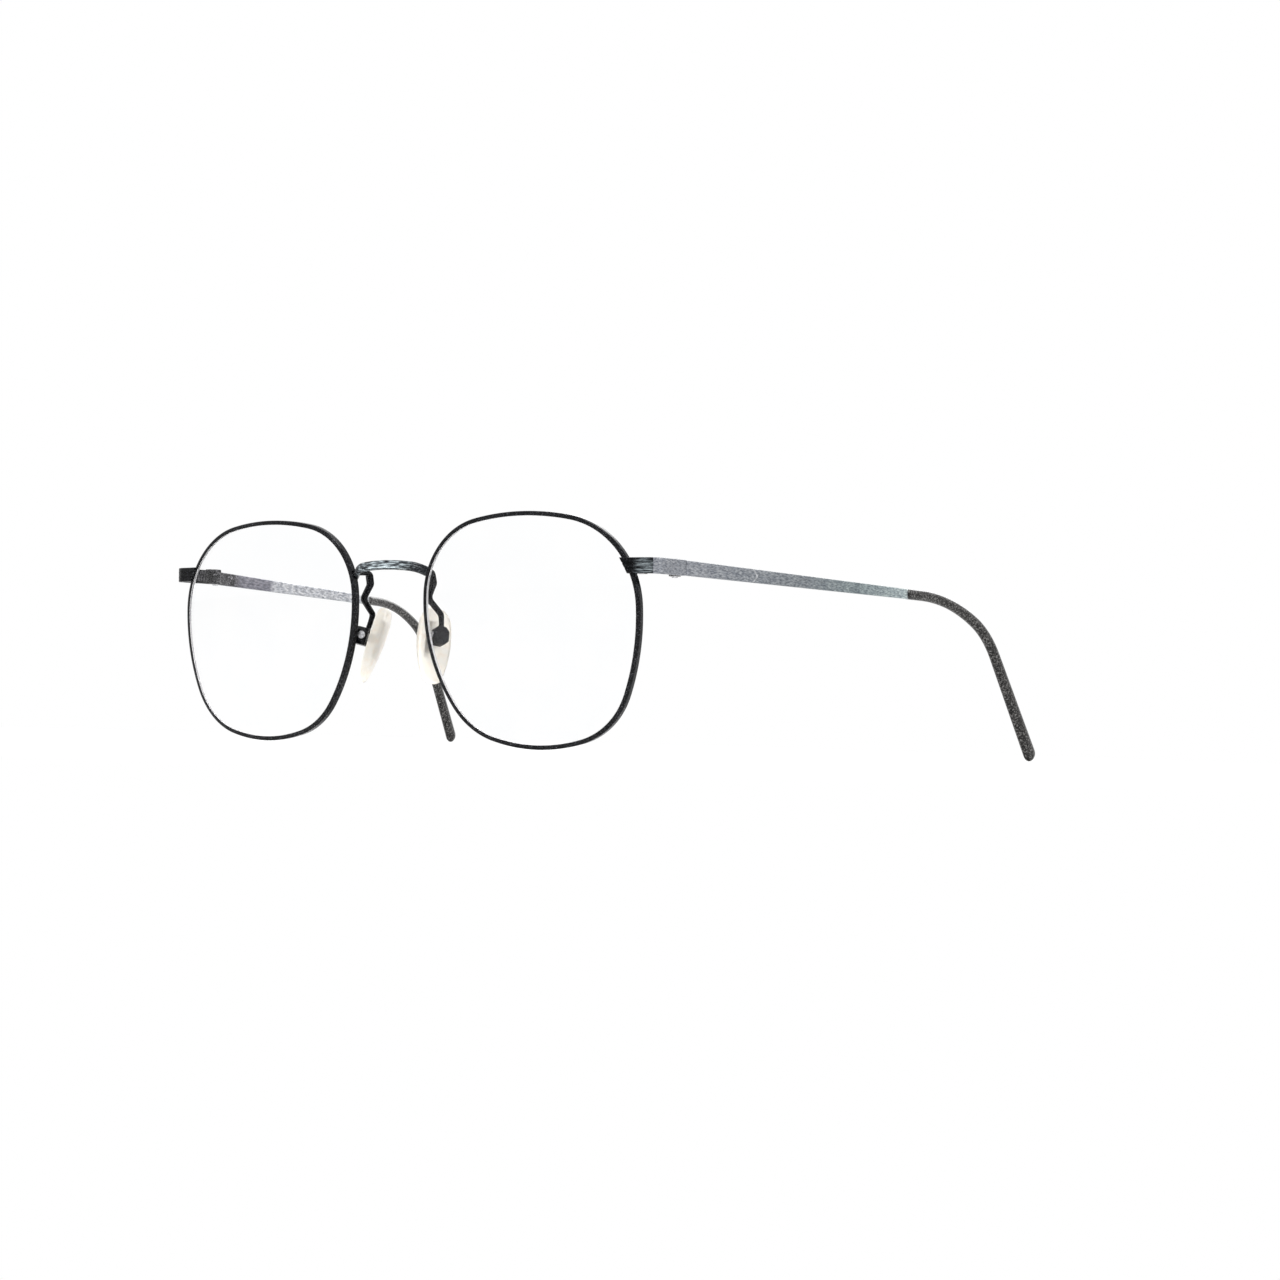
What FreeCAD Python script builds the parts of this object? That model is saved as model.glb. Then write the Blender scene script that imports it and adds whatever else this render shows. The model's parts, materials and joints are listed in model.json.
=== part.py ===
# Eyeglass frame: a full-rim metal front with a reeded bridge, two folding temples
# with plastic tips, and two nose pads that rock in their boxes.
#
# Lengths are millimetres and angles degrees. The frame is drawn as it is worn, with X to the
# wearer's left, Y back towards the ears and Z up, from a point midway between the lens
# centres. Every piece is then shifted together, so that the origin of the finished part is
# the centre of the base on which it stands: rim bottoms and temple tips on Z = 0.
import FreeCAD, Part
import math
import os
import re
import Sketcher
from FreeCAD import Placement, Rotation, Vector

SIZES = {
    # Lens opening: the inner edge of a rim, seen square on. Each side and corner is an arc.
    "opening_width": 48.7,
    "opening_height": 45.5,
    "gap_between_openings": 19.67,
    "temporal_peak_share": 0.072,
    "nasal_peak_share": 0.132,
    "top_peak_share": -0.0235,
    "bottom_peak_share": 0.0345,
    "top_arc_share": 1.17,
    "bottom_arc_share": 0.768,
    "temporal_arc_share": 0.955,
    "nasal_arc_share": 0.793,
    "upper_temporal_corner_share": 0.394,
    "upper_nasal_corner_share": 0.329,
    "lower_nasal_corner_share": 0.362,
    "lower_temporal_corner_share": 0.324,
    # The front follows the curve of the lenses, wraps round the face and leans forward.
    "lens_curve_radius": 200.0,
    "wrap_angle": 3.13,
    "pantoscopic_angle": 4.97,
    # Rim wire and the groove inside it.
    "rim_face": 0.9,
    "rim_depth": 1.45,
    "groove_depth": 0.42,
    "groove_width": 0.6,
    "rim_slit": 0.24,
    # Lens, held by the bevel that stands in the groove.
    "lens_thickness": 1.3,
    "lens_clearance": 0.02,
    "bevel_reach": 0.36,
    "bevel_width": 0.5,
    # Bridge: a bar bent to an arch that leans forward as it rises.
    "bridge_width": 1.85,
    "bridge_thickness": 1.2,
    "bridge_crown_height": 13.95,
    "bridge_crown_forward": 1.1,
    "arch_lean": 35.8,
    "crown_radius": 30.0,
    "shoulder_radius": 6.0,
    "shoulder_angle": 50.0,
    "shoulder_inset": 0.35,
    "bridge_end_run": 1.9,
    "bridge_edge_break": 0.3,
    "reed_spacing": 0.56,
    "reed_half_width": 0.14,
    "reed_depth": 0.17,
    # End piece: a strip that lies on the rim's face and bends back to the hinge.
    "end_piece_height": 3.1,
    "end_piece_thickness": 1.05,
    "end_piece_overhang": 4.47,
    "end_piece_rise": 2.0,
    "plate_sweep": 9.6,
    "plate_setback": 1.12,
    "plate_length": 9.0,
    "bend_radius": 3.6,
    "flute_depth": 0.14,
    "flute_width": 0.34,
    "flute_spacing": 1.0,
    "flute_stop_angle": 47.0,
    "band_groove_width": 0.3,
    # Closing blocks and their screw, behind the end piece.
    "block_width": 2.9,
    "block_depth": 2.3,
    "closing_screw_radius": 0.45,
    "closing_head_radius": 0.7,
    "closing_head_height": 0.4,
    "closing_screw_inset": 0.92,
    "closing_head_gap": 0.09,
    # Hinge: three barrels on one screw.
    "hinge_setback": 13.2,
    "hinge_offset": 1.42,
    "barrel_radius": 1.2,
    "barrel_stack_height": 3.3,
    "barrel_gap": 0.05,
    "middle_barrel_height": 1.3,
    "leaf_thickness": 0.85,
    "leaf_height": 2.4,
    "leaf_length": 6.2,
    "leaf_start": 1.5,
    "web_length": 1.7,
    "web_start": 0.42,
    "joint_gap": 0.12,
    "hinge_screw_radius": 0.6,
    "hinge_head_radius": 0.92,
    "hinge_head_height": 0.5,
    "hinge_screw_tip": 0.3,
    "screw_slot_width": 0.26,
    "screw_slot_depth": 0.22,
    "thread_clearance": 0.02,
    "running_clearance": 0.05,
    "head_clearance": 0.06,
    # Temple blade.
    "blade_level": 13.03,
    "blade_length": 74.0,
    "blade_thickness": 1.0,
    "blade_front_height": 2.98,
    "blade_rear_height": 2.17,
    "splay_angle": 10.94,
    "chevron_distance": 19.2,
    "chevron_length": 1.5,
    "chevron_width": 0.28,
    "chevron_depth": 0.1,
    # Temple tip: a sleeve that leaves the blade level, then bends down behind the ear.
    "tip_straight": 6.35,
    "gentle_bend_radius": 50.0,
    "gentle_bend_angle": 25.0,
    "ear_bend_radius": 22.0,
    "ear_bend_angle": 30.0,
    "tip_start_height": 2.3,
    "tip_start_thickness": 2.0,
    "tip_end_height": 3.7,
    "tip_end_thickness": 2.4,
    "core_wire_radius": 0.62,
    "core_wire_stop": 5.0,
    "core_clearance": 0.02,
    # Nose pad, its metal core and the box that holds it.
    "pad_length": 16.6,
    "pad_top_radius": 3.6,
    "pad_bottom_radius": 2.7,
    "pad_side_radius": 24.0,
    "pad_thickness": 2.6,
    "pad_front_round": 1.1,
    "pad_back_round": 0.5,
    "pad_reach": 2.27,
    "pad_back": 5.5,
    "pad_level": -2.9,
    "pad_lean": 14.6,
    "pad_flare": 7.6,
    "pad_splay": 28.4,
    "stem_reach": 2.0,
    "mount_rise": 1.3,
    "tongue_half_height": 0.9,
    "tongue_thickness": 1.1,
    "core_plate_length": 8.0,
    "core_plate_width": 4.2,
    "core_plate_thickness": 0.4,
    "box_width": 3.3,
    "box_height": 3.8,
    "box_front": 1.1,
    "box_back": 1.5,
    "box_corner": 0.85,
    "box_side_clearance": 0.1,
    "pocket_half_height": 1.4,
    "pocket_depth": 2.15,
    "pad_screw_radius": 0.45,
    "pad_head_radius": 0.8,
    "pad_head_height": 0.35,
    # Pad arm: a wire that leaves the back of the bridge's end and bends to and fro.
    "arm_wire_radius": 0.62,
    "arm_bend_radius": 1.1,
    "arm_root_reach": 0.9,
    "arm_root_back": 0.35,
    "arm_root_level": 12.3,
    "arm_brow_reach": 1.46,
    "arm_brow_back": 3.5,
    "arm_brow_level": 12.5,
    "arm_bulge_reach": 1.32,
    "arm_bulge_back": 4.26,
    "arm_bulge_level": 9.9,
    "arm_waist_reach": 1.08,
    "arm_waist_back": 2.0,
    "arm_waist_level": 6.8,
    "arm_knee_reach": 0.65,
    "arm_knee_back": 6.3,
    "arm_knee_level": 3.85,
    "arm_drop": 1.2,
    "arm_foot_aside": 0.55,
    "arm_foot_forward": 0.45,
    # Cutting tools run past the metal by this much.
    "overrun": 2.0,
}

doc = FreeCAD.newDocument("EyeglassFrame")
sheet = doc.addObject("Spreadsheet::Sheet", "Sizes")
for row, (name, length) in enumerate(SIZES.items(), start=1):
    sheet.set(f"A{row}", name)
    sheet.set(f"B{row}", str(length))
    sheet.setAlias(f"B{row}", name)
doc.recompute()

X_AXIS = Vector(1, 0, 0)
Y_AXIS = Vector(0, 1, 0)
Z_AXIS = Vector(0, 0, 1)
CLOSE = 0.001


class Sizes:
    """The sheet's values, read by name."""

    def __getattr__(self, name):
        return float(sheet.get(name))


s = Sizes()


def bound(text):
    """Turns size names in a formula into references to the sheet."""
    return re.sub(r"[a-z_]+", lambda m: f"Sizes.{m[0]}" if m[0] in SIZES else m[0], text)


def value(text):
    """The present value of a formula in size names."""
    return float(sheet.evalExpression(bound(text)))


def tie(thing, **formulas):
    """Binds properties of an object to formulas in size names."""
    for name, text in formulas.items():
        thing.setExpression(name, bound(text))


def pin(sketch, shape, end, x, y):
    """Fixes a point of a sketch by two bound distances from its origin."""
    for kind, text in (("DistanceX", x), ("DistanceY", y)):
        distance = Sketcher.Constraint(kind, -1, 1, shape, end, value(text))
        index = sketch.addConstraint(distance)
        sketch.setExpression(f"Constraints[{index}]", bound(text))


def set_radius(sketch, shape, text):
    index = sketch.addConstraint(Sketcher.Constraint("Radius", shape, value(text)))
    sketch.setExpression(f"Constraints[{index}]", bound(text))


def polygon(sketch, corners):
    """Draws a closed outline through corners that are pairs of formulas."""
    points = [Vector(value(x), value(y), 0) for x, y in corners]
    count = len(points)
    for i in range(count):
        sketch.addGeometry(Part.LineSegment(points[i], points[(i + 1) % count]), False)
    for i in range(count):
        sketch.addConstraint(Sketcher.Constraint("Coincident", i, 2, (i + 1) % count, 1))
        pin(sketch, i, 1, *corners[i])


def rectangle(sketch, left, bottom, right, top):
    polygon(sketch, [(left, bottom), (right, bottom), (right, top), (left, top)])


def direction(angle):
    return Vector(math.cos(angle), math.sin(angle), 0)


def angle_of(vector):
    return math.atan2(vector.y, vector.x)


def arc(centre, radius, start, end):
    """A counter-clockwise arc between two angles in radians."""
    return Part.ArcOfCircle(Part.Circle(centre, Z_AXIS, radius), start, end)


def inner_tangent_centre(first, first_radius, second, second_radius, radius, towards):
    """Centre of the arc of a given radius that touches two larger arcs from inside."""
    near = first_radius - radius
    far = second_radius - radius
    span = second - first
    along = (near**2 - far**2 + span.Length**2) / (2 * span.Length)
    aside = math.sqrt(near**2 - along**2)
    across = Z_AXIS.cross(span).normalize()
    foot = first + span.normalize() * along
    options = (foot + across * aside, foot - across * aside)
    return max(options, key=lambda point: point.dot(towards))


def tangent_ring(sketch, sides, corners):
    """Draws a ring of arcs: each side has a fixed centre, each corner touches two sides.

    sides holds (centre formulas, radius formula) counter-clockwise, corners holds
    (radius formula, direction) for the corner that follows each side.
    """
    count = len(sides)
    centres = [Vector(value(x), value(y), 0) for (x, y), _ in sides]
    radii = [value(text) for _, text in sides]
    turns = []
    for i, (text, towards) in enumerate(corners):
        j = (i + 1) % count
        radius = value(text)
        centre = inner_tangent_centre(centres[i], radii[i], centres[j], radii[j], radius, towards)
        start = angle_of(centre - centres[i])
        end = angle_of(centre - centres[j])
        turns.append((centre, radius, start, end))
    for i, (centre, radius, start, end) in enumerate(turns):
        before = turns[i - 1][3]
        sketch.addGeometry(arc(centres[i], radii[i], before, start), False)
        sketch.addGeometry(arc(centre, radius, start, end), False)
    for i in range(2 * count):
        sketch.addConstraint(Sketcher.Constraint("Tangent", i, 2, (i + 1) % (2 * count), 1))
    for i, ((x, y), text) in enumerate(sides):
        pin(sketch, 2 * i, 3, x, y)
        set_radius(sketch, 2 * i, text)
        set_radius(sketch, 2 * i + 1, corners[i][0])


def loose_sketch(name, place):
    sketch = doc.addObject("Sketcher::SketchObject", name)
    sketch.Placement = place
    return sketch


def extrude(name, sketch, length, backwards=False, symmetric=False):
    solid = doc.addObject("Part::Extrusion", name)
    solid.Base = sketch
    solid.DirMode = "Normal"
    solid.Solid = True
    solid.Reversed = backwards
    solid.Symmetric = symmetric
    tie(solid, LengthFwd=length)
    return solid


def boolean(kind, name, base, tool):
    """Cuts, joins or intersects two objects; kind is Cut, Fuse or Common."""
    result = doc.addObject(f"Part::{kind}", name)
    result.Base = base
    result.Tool = tool
    return result


def cut(name, base, *tools):
    result = base
    for number, tool in enumerate(tools, start=1):
        last = number == len(tools)
        result = boolean("Cut", name if last else f"{name}_step_{number}", result, tool)
    return result


def box(name, x, y, z, place=None):
    """A block between two corners: x, y and z are each a pair of formulas, low and high."""
    block = doc.addObject("Part::Box", name)
    (x0, x1), (y0, y1), (z0, z1) = x, y, z
    tie(block, Length=f"({x1}) - ({x0})", Width=f"({y1}) - ({y0})", Height=f"({z1}) - ({z0})")
    corner = Placement(Vector(value(x0), value(y0), value(z0)), Rotation())
    block.Placement = (place or Placement()) * corner
    return block


def cylinder(name, radius, low, high, x="0", y="0", place=None):
    """An upright cylinder between two heights."""
    post = doc.addObject("Part::Cylinder", name)
    tie(post, Radius=radius, Height=f"({high}) - ({low})")
    foot = Placement(Vector(value(x), value(y), value(low)), Rotation())
    post.Placement = (place or Placement()) * foot
    return post


def fuse(name, pieces):
    joined = doc.addObject("Part::MultiFuse", name)
    joined.Shapes = pieces
    joined.Refine = True
    return joined


def new_body(name, place=None):
    body = doc.addObject("PartDesign::Body", name)
    body.Placement = place or Placement()
    return body


def origin_plane(body, role):
    return next(plane for plane in body.Origin.OriginFeatures if plane.Role == role)


def plane_sketch(body, name, role, lift=0.0):
    """A sketch on one of the body's own origin planes, lifted along its normal."""
    sketch = body.newObject("Sketcher::SketchObject", name)
    sketch.AttachmentSupport = (origin_plane(body, role), "")
    sketch.MapMode = "FlatFace"
    sketch.AttachmentOffset = Placement(Vector(0, 0, lift), Rotation())
    return sketch


def feature(body, kind, name, profile=None, **formulas):
    made = body.newObject(f"PartDesign::{kind}", name)
    if profile is not None:
        made.Profile = profile
    tie(made, **formulas)
    return made


def refresh(*things):
    """Recomputes and stops if anything failed."""
    doc.recompute()
    for thing in things or doc.Objects:
        state = [word for word in thing.State if word in ("Invalid", "Error")]
        if state:
            raise RuntimeError(f"{thing.Name} failed: {state}")


# Places of the main assemblies as worn
lens_centre = (s.gap_between_openings + s.opening_width) / 2
nasal_edge = s.gap_between_openings / 2
front_half_width = lens_centre + s.opening_width / 2 + s.end_piece_overhang
hinge_x = front_half_width - s.end_piece_thickness - s.hinge_offset
front_place = Placement(Vector(), Rotation(X_AXIS, s.pantoscopic_angle))
rim_place = front_place * Placement(Vector(lens_centre, 0, 0), Rotation(Z_AXIS, s.wrap_angle))
hinge_place = Placement(Vector(hinge_x, s.hinge_setback, s.blade_level), Rotation())
temple_place = hinge_place * Placement(Vector(), Rotation(Z_AXIS, -s.splay_angle))
end_piece_place = hinge_place * Placement(Vector(), Rotation(X_AXIS, s.end_piece_rise))

# name of a node to its object and to its place as worn
nodes = {}


def keep(name, thing, place=None):
    """Records a finished piece under the name of its node."""
    thing.Label = name
    nodes[name] = (thing, place or Placement())
    return thing


# Rims and lenses

def outline_sketch(name, reach):
    """The lens opening grown outward by reach, on a plane in front of the rim."""
    stand_off = Placement(Vector(0, -s.overrun, 0), Rotation(X_AXIS, 90))
    sketch = loose_sketch(name, rim_place * stand_off)
    temporal = "temporal_arc_share * opening_height"
    top = "top_arc_share * opening_width"
    nasal = "nasal_arc_share * opening_height"
    bottom = "bottom_arc_share * opening_width"
    sides = [
        ((f"opening_width / 2 - {temporal}", "temporal_peak_share * opening_height"), temporal),
        (("top_peak_share * opening_width", f"opening_height / 2 - {top}"), top),
        ((f"{nasal} - opening_width / 2", "nasal_peak_share * opening_height"), nasal),
        (("bottom_peak_share * opening_width", f"{bottom} - opening_height / 2"), bottom),
    ]
    corners = [
        ("upper_temporal_corner_share * opening_height", Vector(1, 1, 0)),
        ("upper_nasal_corner_share * opening_height", Vector(-1, 1, 0)),
        ("lower_nasal_corner_share * opening_height", Vector(-1, -1, 0)),
        ("lower_temporal_corner_share * opening_height", Vector(1, -1, 0)),
    ]
    grown_sides = [(centre, f"{radius} + {reach}") for centre, radius in sides]
    grown_corners = [(f"{radius} + {reach}", towards) for radius, towards in corners]
    tangent_ring(sketch, grown_sides, grown_corners)
    return sketch


def outline_prism(name, reach):
    """Everything inside the grown outline, from before the rim to well behind it."""
    sketch = outline_sketch(f"{name}_outline", reach)
    depth = "2 * overrun + rim_depth + opening_width ^ 2 / lens_curve_radius"
    return extrude(name, sketch, depth, backwards=True)


def lens_sphere(name, setback):
    """A ball whose front lies on the lens curve, set back from the rim's front."""
    ball = doc.addObject("Part::Sphere", name)
    tie(ball, Radius=f"lens_curve_radius - ({setback})")
    ball.Placement = rim_place * Placement(Vector(0, s.lens_curve_radius, 0), Rotation())
    return ball


def curved_slab(name, prism, front, back):
    """The part of a prism between two depths that follow the lens curve."""
    slab = boolean("Common", f"{name}_front", prism, lens_sphere(f"{name}_front_ball", front))
    return boolean("Cut", name, slab, lens_sphere(f"{name}_back_ball", back))


opening_prism = outline_prism("opening_prism", "0")
rim_prism = outline_prism("rim_prism", "rim_face")
groove_prism = outline_prism("groove_prism", "groove_depth")
lens_prism = outline_prism("lens_prism", "-lens_clearance")
bevel_prism = outline_prism("bevel_prism", "bevel_reach")

rim_wall = boolean("Cut", "rim_wall", rim_prism, opening_prism)
rim_blank = curved_slab("rim_blank", rim_wall, "0", "rim_depth")
groove = curved_slab(
    "groove", groove_prism, "(rim_depth - groove_width) / 2", "(rim_depth + groove_width) / 2"
)
slit_box = box(
    "slit_box",
    ("-hinge_offset - end_piece_overhang - 2 * overrun", "0"),
    ("-hinge_setback - overrun", "-hinge_setback / 2"),
    ("-rim_slit / 2", "rim_slit / 2"),
    end_piece_place,
)
keep("rim_left", cut("rim_left", rim_blank, groove, slit_box))

lens_body = curved_slab(
    "lens_body", lens_prism, "(rim_depth - lens_thickness) / 2", "(rim_depth + lens_thickness) / 2"
)
bevel = curved_slab(
    "bevel", bevel_prism, "(rim_depth - bevel_width) / 2", "(rim_depth + bevel_width) / 2"
)
keep("lens_left", boolean("Fuse", "lens_left", lens_body, bevel))

# Bridge

crown_centre = Vector(0, -s.bridge_crown_forward, s.bridge_crown_height)
arch_up = Vector(0, -math.cos(math.radians(s.arch_lean)), math.sin(math.radians(s.arch_lean)))
arch_turn = Rotation(X_AXIS, arch_up, X_AXIS.cross(arch_up), "XYZ")
bridge_bar = new_body("bridge_bar", front_place * Placement(crown_centre, arch_turn))

shoulder = math.radians(s.shoulder_angle)
shoulder_x = nasal_edge - s.shoulder_inset
crown_reach = shoulder_x - s.shoulder_radius * math.sin(shoulder)
middles_apart = s.crown_radius - s.shoulder_radius
crown_turn = math.asin(crown_reach / middles_apart)
quarter = math.pi / 2
crown_middle = Vector(0, -s.crown_radius, 0)
shoulder_middle = crown_middle + direction(quarter - crown_turn) * middles_apart
shoulder_end = shoulder_middle + direction(quarter - shoulder) * s.shoulder_radius
bar_end = shoulder_end + direction(-shoulder) * s.bridge_end_run
bar_route = plane_sketch(bridge_bar, "bridge_route", "XY_Plane")
bar_route.addGeometry([
    arc(crown_middle, s.crown_radius, quarter - crown_turn, quarter),
    arc(shoulder_middle, s.shoulder_radius, quarter - shoulder, quarter - crown_turn),
    Part.LineSegment(shoulder_end, bar_end),
], False)
bar_route.addConstraint(Sketcher.Constraint("Tangent", 0, 1, 1, 2))
bar_route.addConstraint(Sketcher.Constraint("Tangent", 1, 1, 2, 1))
set_radius(bar_route, 0, "crown_radius")
set_radius(bar_route, 1, "shoulder_radius")

bar_profile = plane_sketch(bridge_bar, "bridge_profile", "YZ_Plane")
edge = "bridge_width / 2"
inner_edge = "bridge_width / 2 - bridge_edge_break"
lower_reed = "-reed_spacing / 2"
upper_reed = "reed_spacing / 2"
polygon(bar_profile, [
    ("-bridge_edge_break", f"-{edge}"),
    ("0", f"-({inner_edge})"),
    ("0", f"{lower_reed} - reed_half_width"),
    ("-reed_depth", lower_reed),
    ("0", f"{lower_reed} + reed_half_width"),
    ("0", f"{upper_reed} - reed_half_width"),
    ("-reed_depth", upper_reed),
    ("0", f"{upper_reed} + reed_half_width"),
    ("0", inner_edge),
    ("-bridge_edge_break", edge),
    ("bridge_edge_break - bridge_thickness", edge),
    ("-bridge_thickness", inner_edge),
    ("-bridge_thickness", f"-({inner_edge})"),
    ("bridge_edge_break - bridge_thickness", f"-{edge}"),
])
bar_sweep = feature(bridge_bar, "AdditivePipe", "bridge_sweep", bar_profile)
bar_sweep.Spine = (bar_route, ["Edge1", "Edge2", "Edge3"])
refresh(bar_sweep)
bar_mirror = feature(bridge_bar, "Mirrored", "bridge_mirror")
bar_mirror.Originals = [bar_sweep]
bar_mirror.MirrorPlane = (origin_plane(bridge_bar, "YZ_Plane"), [""])
bridge_bar.Tip = bar_mirror


def mirrored(name, source):
    """The same thing on the wearer's other side."""
    twin = doc.addObject("Part::Mirroring", name)
    twin.Source = source
    twin.Base = Vector()
    twin.Normal = X_AXIS
    return twin


other_rim_prism = mirrored("other_rim_prism", rim_prism)
keep("bridge", cut("bridge", bridge_bar, rim_prism, other_rim_prism))

# End piece

sweep = math.radians(s.plate_sweep)
plate_setback = s.plate_setback - s.hinge_setback
plate_corner = Vector(
    s.end_piece_thickness + s.hinge_offset,
    plate_setback + s.end_piece_overhang * math.tan(sweep),
    0,
)
along_plate = direction(sweep)
inward = direction(sweep + quarter)
bend_start = plate_corner - along_plate * (s.bend_radius * math.tan((quarter - sweep) / 2))
bend_middle = bend_start + inward * s.bend_radius


def strip_sketch(name, thickness):
    """Plan of the bent strip: a plate in front, a bend, and a side that ends at the joint."""
    side = plate_corner.x
    thick = value(thickness)
    plate_start = plate_corner - along_plate * s.plate_length
    side_start = Vector(side, bend_middle.y, 0)
    inner_radius = s.bend_radius - thick
    inner_plate_end = bend_middle - inward * inner_radius
    inner_side_start = Vector(side - thick, bend_middle.y, 0)
    rear_outer = Vector(side, 0, 0)
    rear_inner = Vector(side - thick, 0, 0)
    plate_back = plate_start + inward * thick
    sketch = loose_sketch(name, end_piece_place)
    sketch.addGeometry([
        Part.LineSegment(plate_start, bend_start),
        arc(bend_middle, s.bend_radius, sweep - quarter, 0),
        Part.LineSegment(side_start, rear_outer),
        Part.LineSegment(rear_outer, rear_inner),
        Part.LineSegment(rear_inner, inner_side_start),
        arc(bend_middle, inner_radius, sweep - quarter, 0),
        Part.LineSegment(inner_plate_end, plate_back),
        Part.LineSegment(plate_back, plate_start),
    ], False)
    joints = [(0, 2, 1, 1), (1, 2, 2, 1), (4, 2, 5, 2), (5, 1, 6, 1)]
    for joint in joints:
        sketch.addConstraint(Sketcher.Constraint("Tangent", *joint))
    for joint in ((2, 2, 3, 1), (3, 2, 4, 1), (6, 2, 7, 1), (7, 2, 0, 1)):
        sketch.addConstraint(Sketcher.Constraint("Coincident", *joint))
    set_radius(sketch, 1, "bend_radius")
    set_radius(sketch, 5, f"bend_radius - ({thickness})")
    pin(sketch, 3, 1, "end_piece_thickness + hinge_offset", "0")
    pin(sketch, 3, 2, f"end_piece_thickness + hinge_offset - ({thickness})", "0")
    return sketch


strip = extrude("end_piece_strip", strip_sketch("strip_plan", "end_piece_thickness"),
                "end_piece_height", symmetric=True)

# The flutes end part way round the bend, in a groove across the strip
stop_place = end_piece_place * Placement(bend_middle, Rotation(Z_AXIS, -s.flute_stop_angle))
full_height = ("-end_piece_height", "end_piece_height")
beyond_stop = box("beyond_stop", ("-hinge_setback", "bend_radius + overrun"),
                  ("0", "hinge_setback"), full_height, stop_place)
flutes = []
for side, name in ((-1, "lower_flute"), (1, "upper_flute")):
    plan = strip_sketch(f"{name}_plan", "flute_depth")
    flute_level = Vector(0, 0, side * s.flute_spacing / 2)
    plan.Placement = end_piece_place * Placement(flute_level, Rotation())
    whole = extrude(f"{name}_whole", plan, "flute_width", symmetric=True)
    flutes.append(cut(name, whole, beyond_stop))
band_groove = box("band_groove", ("bend_radius - flute_depth", "bend_radius + overrun"),
                  ("0", "band_groove_width"), full_height, stop_place)
end_piece_tools = [*flutes, band_groove, opening_prism, rim_blank]
keep("end_piece_left", cut("end_piece_left", strip, *end_piece_tools))

# Closing blocks, set against the back of the plate and the outside of the rim

plate_turn = Rotation(Z_AXIS, s.plate_sweep)
plate_back_shift = plate_turn.multVec(Vector(0, s.end_piece_thickness, 0))
plate_place = end_piece_place * Placement(plate_corner + plate_back_shift, plate_turn)

block_reach = "end_piece_height / 2"
screw_y = "block_depth / 2"


def rim_outside():
    """Distance from the plate's corner to the rim's outside, where the screw's head is."""
    head_level = -value(block_reach)
    start = plate_place.multVec(Vector(0, value(screw_y), head_level))
    end = plate_place.multVec(Vector(-s.plate_length, value(screw_y), head_level))
    inside = Part.makeLine(start, end).common(rim_prism.Shape)
    return min(vertex.Point.distanceToPoint(start) for vertex in inside.Vertexes)


refresh(rim_prism)
screw_x = f"closing_head_radius + closing_head_gap - {rim_outside()}"
block_edge = f"{screw_x} + closing_screw_inset"
block_x = (f"{block_edge} - block_width", block_edge)
block_y = ("0", "block_depth")
seat_top = "closing_head_height + head_clearance - end_piece_height / 2"
blocks = (
    ("upper", ("rim_slit / 2", block_reach), "thread_clearance"),
    ("lower", (f"-{block_reach}", "-rim_slit / 2"), "running_clearance"),
)
for level, block_z, clearance in blocks:
    name = f"closing_block_{level}_left"
    blank = box(f"{name}_blank", block_x, block_y, block_z, plate_place)
    bore = cylinder(f"{name}_bore", f"closing_screw_radius + {clearance}",
                    "-end_piece_height", "end_piece_height", screw_x, screw_y, plate_place)
    tools = [rim_prism, bore]
    if level == "lower":
        tools.append(cylinder(f"{name}_seat", "closing_head_radius + head_clearance",
                              "-end_piece_height", seat_top, screw_x, screw_y, plate_place))
    keep(name, cut(name, blank, *tools))


def screw(name, place, radius, head_radius, head_height, low, high):
    """A slotted screw along Z: its shank runs from low to high, with the head below low."""
    head_low = f"({low}) - {head_height}"
    shank = cylinder(f"{name}_shank", radius, low, high)
    head = cylinder(f"{name}_head", head_radius, head_low, low)
    slot = box(
        f"{name}_slot",
        ("-screw_slot_width / 2", "screw_slot_width / 2"),
        (f"-2 * {head_radius}", f"2 * {head_radius}"),
        (f"{head_low} - overrun", f"{head_low} + screw_slot_depth"),
    )
    return keep(name, cut(name, fuse(f"{name}_blank", [shank, head]), slot), place)


screw_axis = Placement(Vector(value(screw_x), value(screw_y), 0), Rotation())
screw(
    "closing_screw_left", plate_place * screw_axis,
    "closing_screw_radius", "closing_head_radius", "closing_head_height",
    "closing_head_height - end_piece_height / 2", "end_piece_height / 2",
)

# Hinge: the axis is local Z, the metal it is brazed to lies on the +X side

middle = "middle_barrel_height / 2"
stack = "barrel_stack_height / 2"
outer_barrels = (
    ("lower", f"-({stack})", f"-({middle} + barrel_gap)"),
    ("upper", f"{middle} + barrel_gap", stack),
)
front_parts = [box(
    "front_leaf", ("hinge_offset - leaf_thickness", "hinge_offset"),
    ("-leaf_length", "-leaf_start"), ("-leaf_height / 2", "leaf_height / 2"),
)]
for level, low, high in outer_barrels:
    front_parts.append(cylinder(f"{level}_barrel", "barrel_radius", low, high))
    web_y = ("-web_length", "-web_start")
    front_parts.append(box(f"{level}_web", ("0", "hinge_offset"), web_y, (low, high)))
front_bore = cylinder("front_bore", "hinge_screw_radius + thread_clearance",
                      f"-({stack}) - overrun", f"{stack} + overrun")
head_seat = cylinder("head_seat", "hinge_head_radius + head_clearance",
                     f"{stack} - hinge_head_height", f"{stack} + overrun")
front_blank = fuse("front_hinge_blank", front_parts)
keep("front_hinge_left", cut("front_hinge_left", front_blank, front_bore, head_seat), hinge_place)

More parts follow.
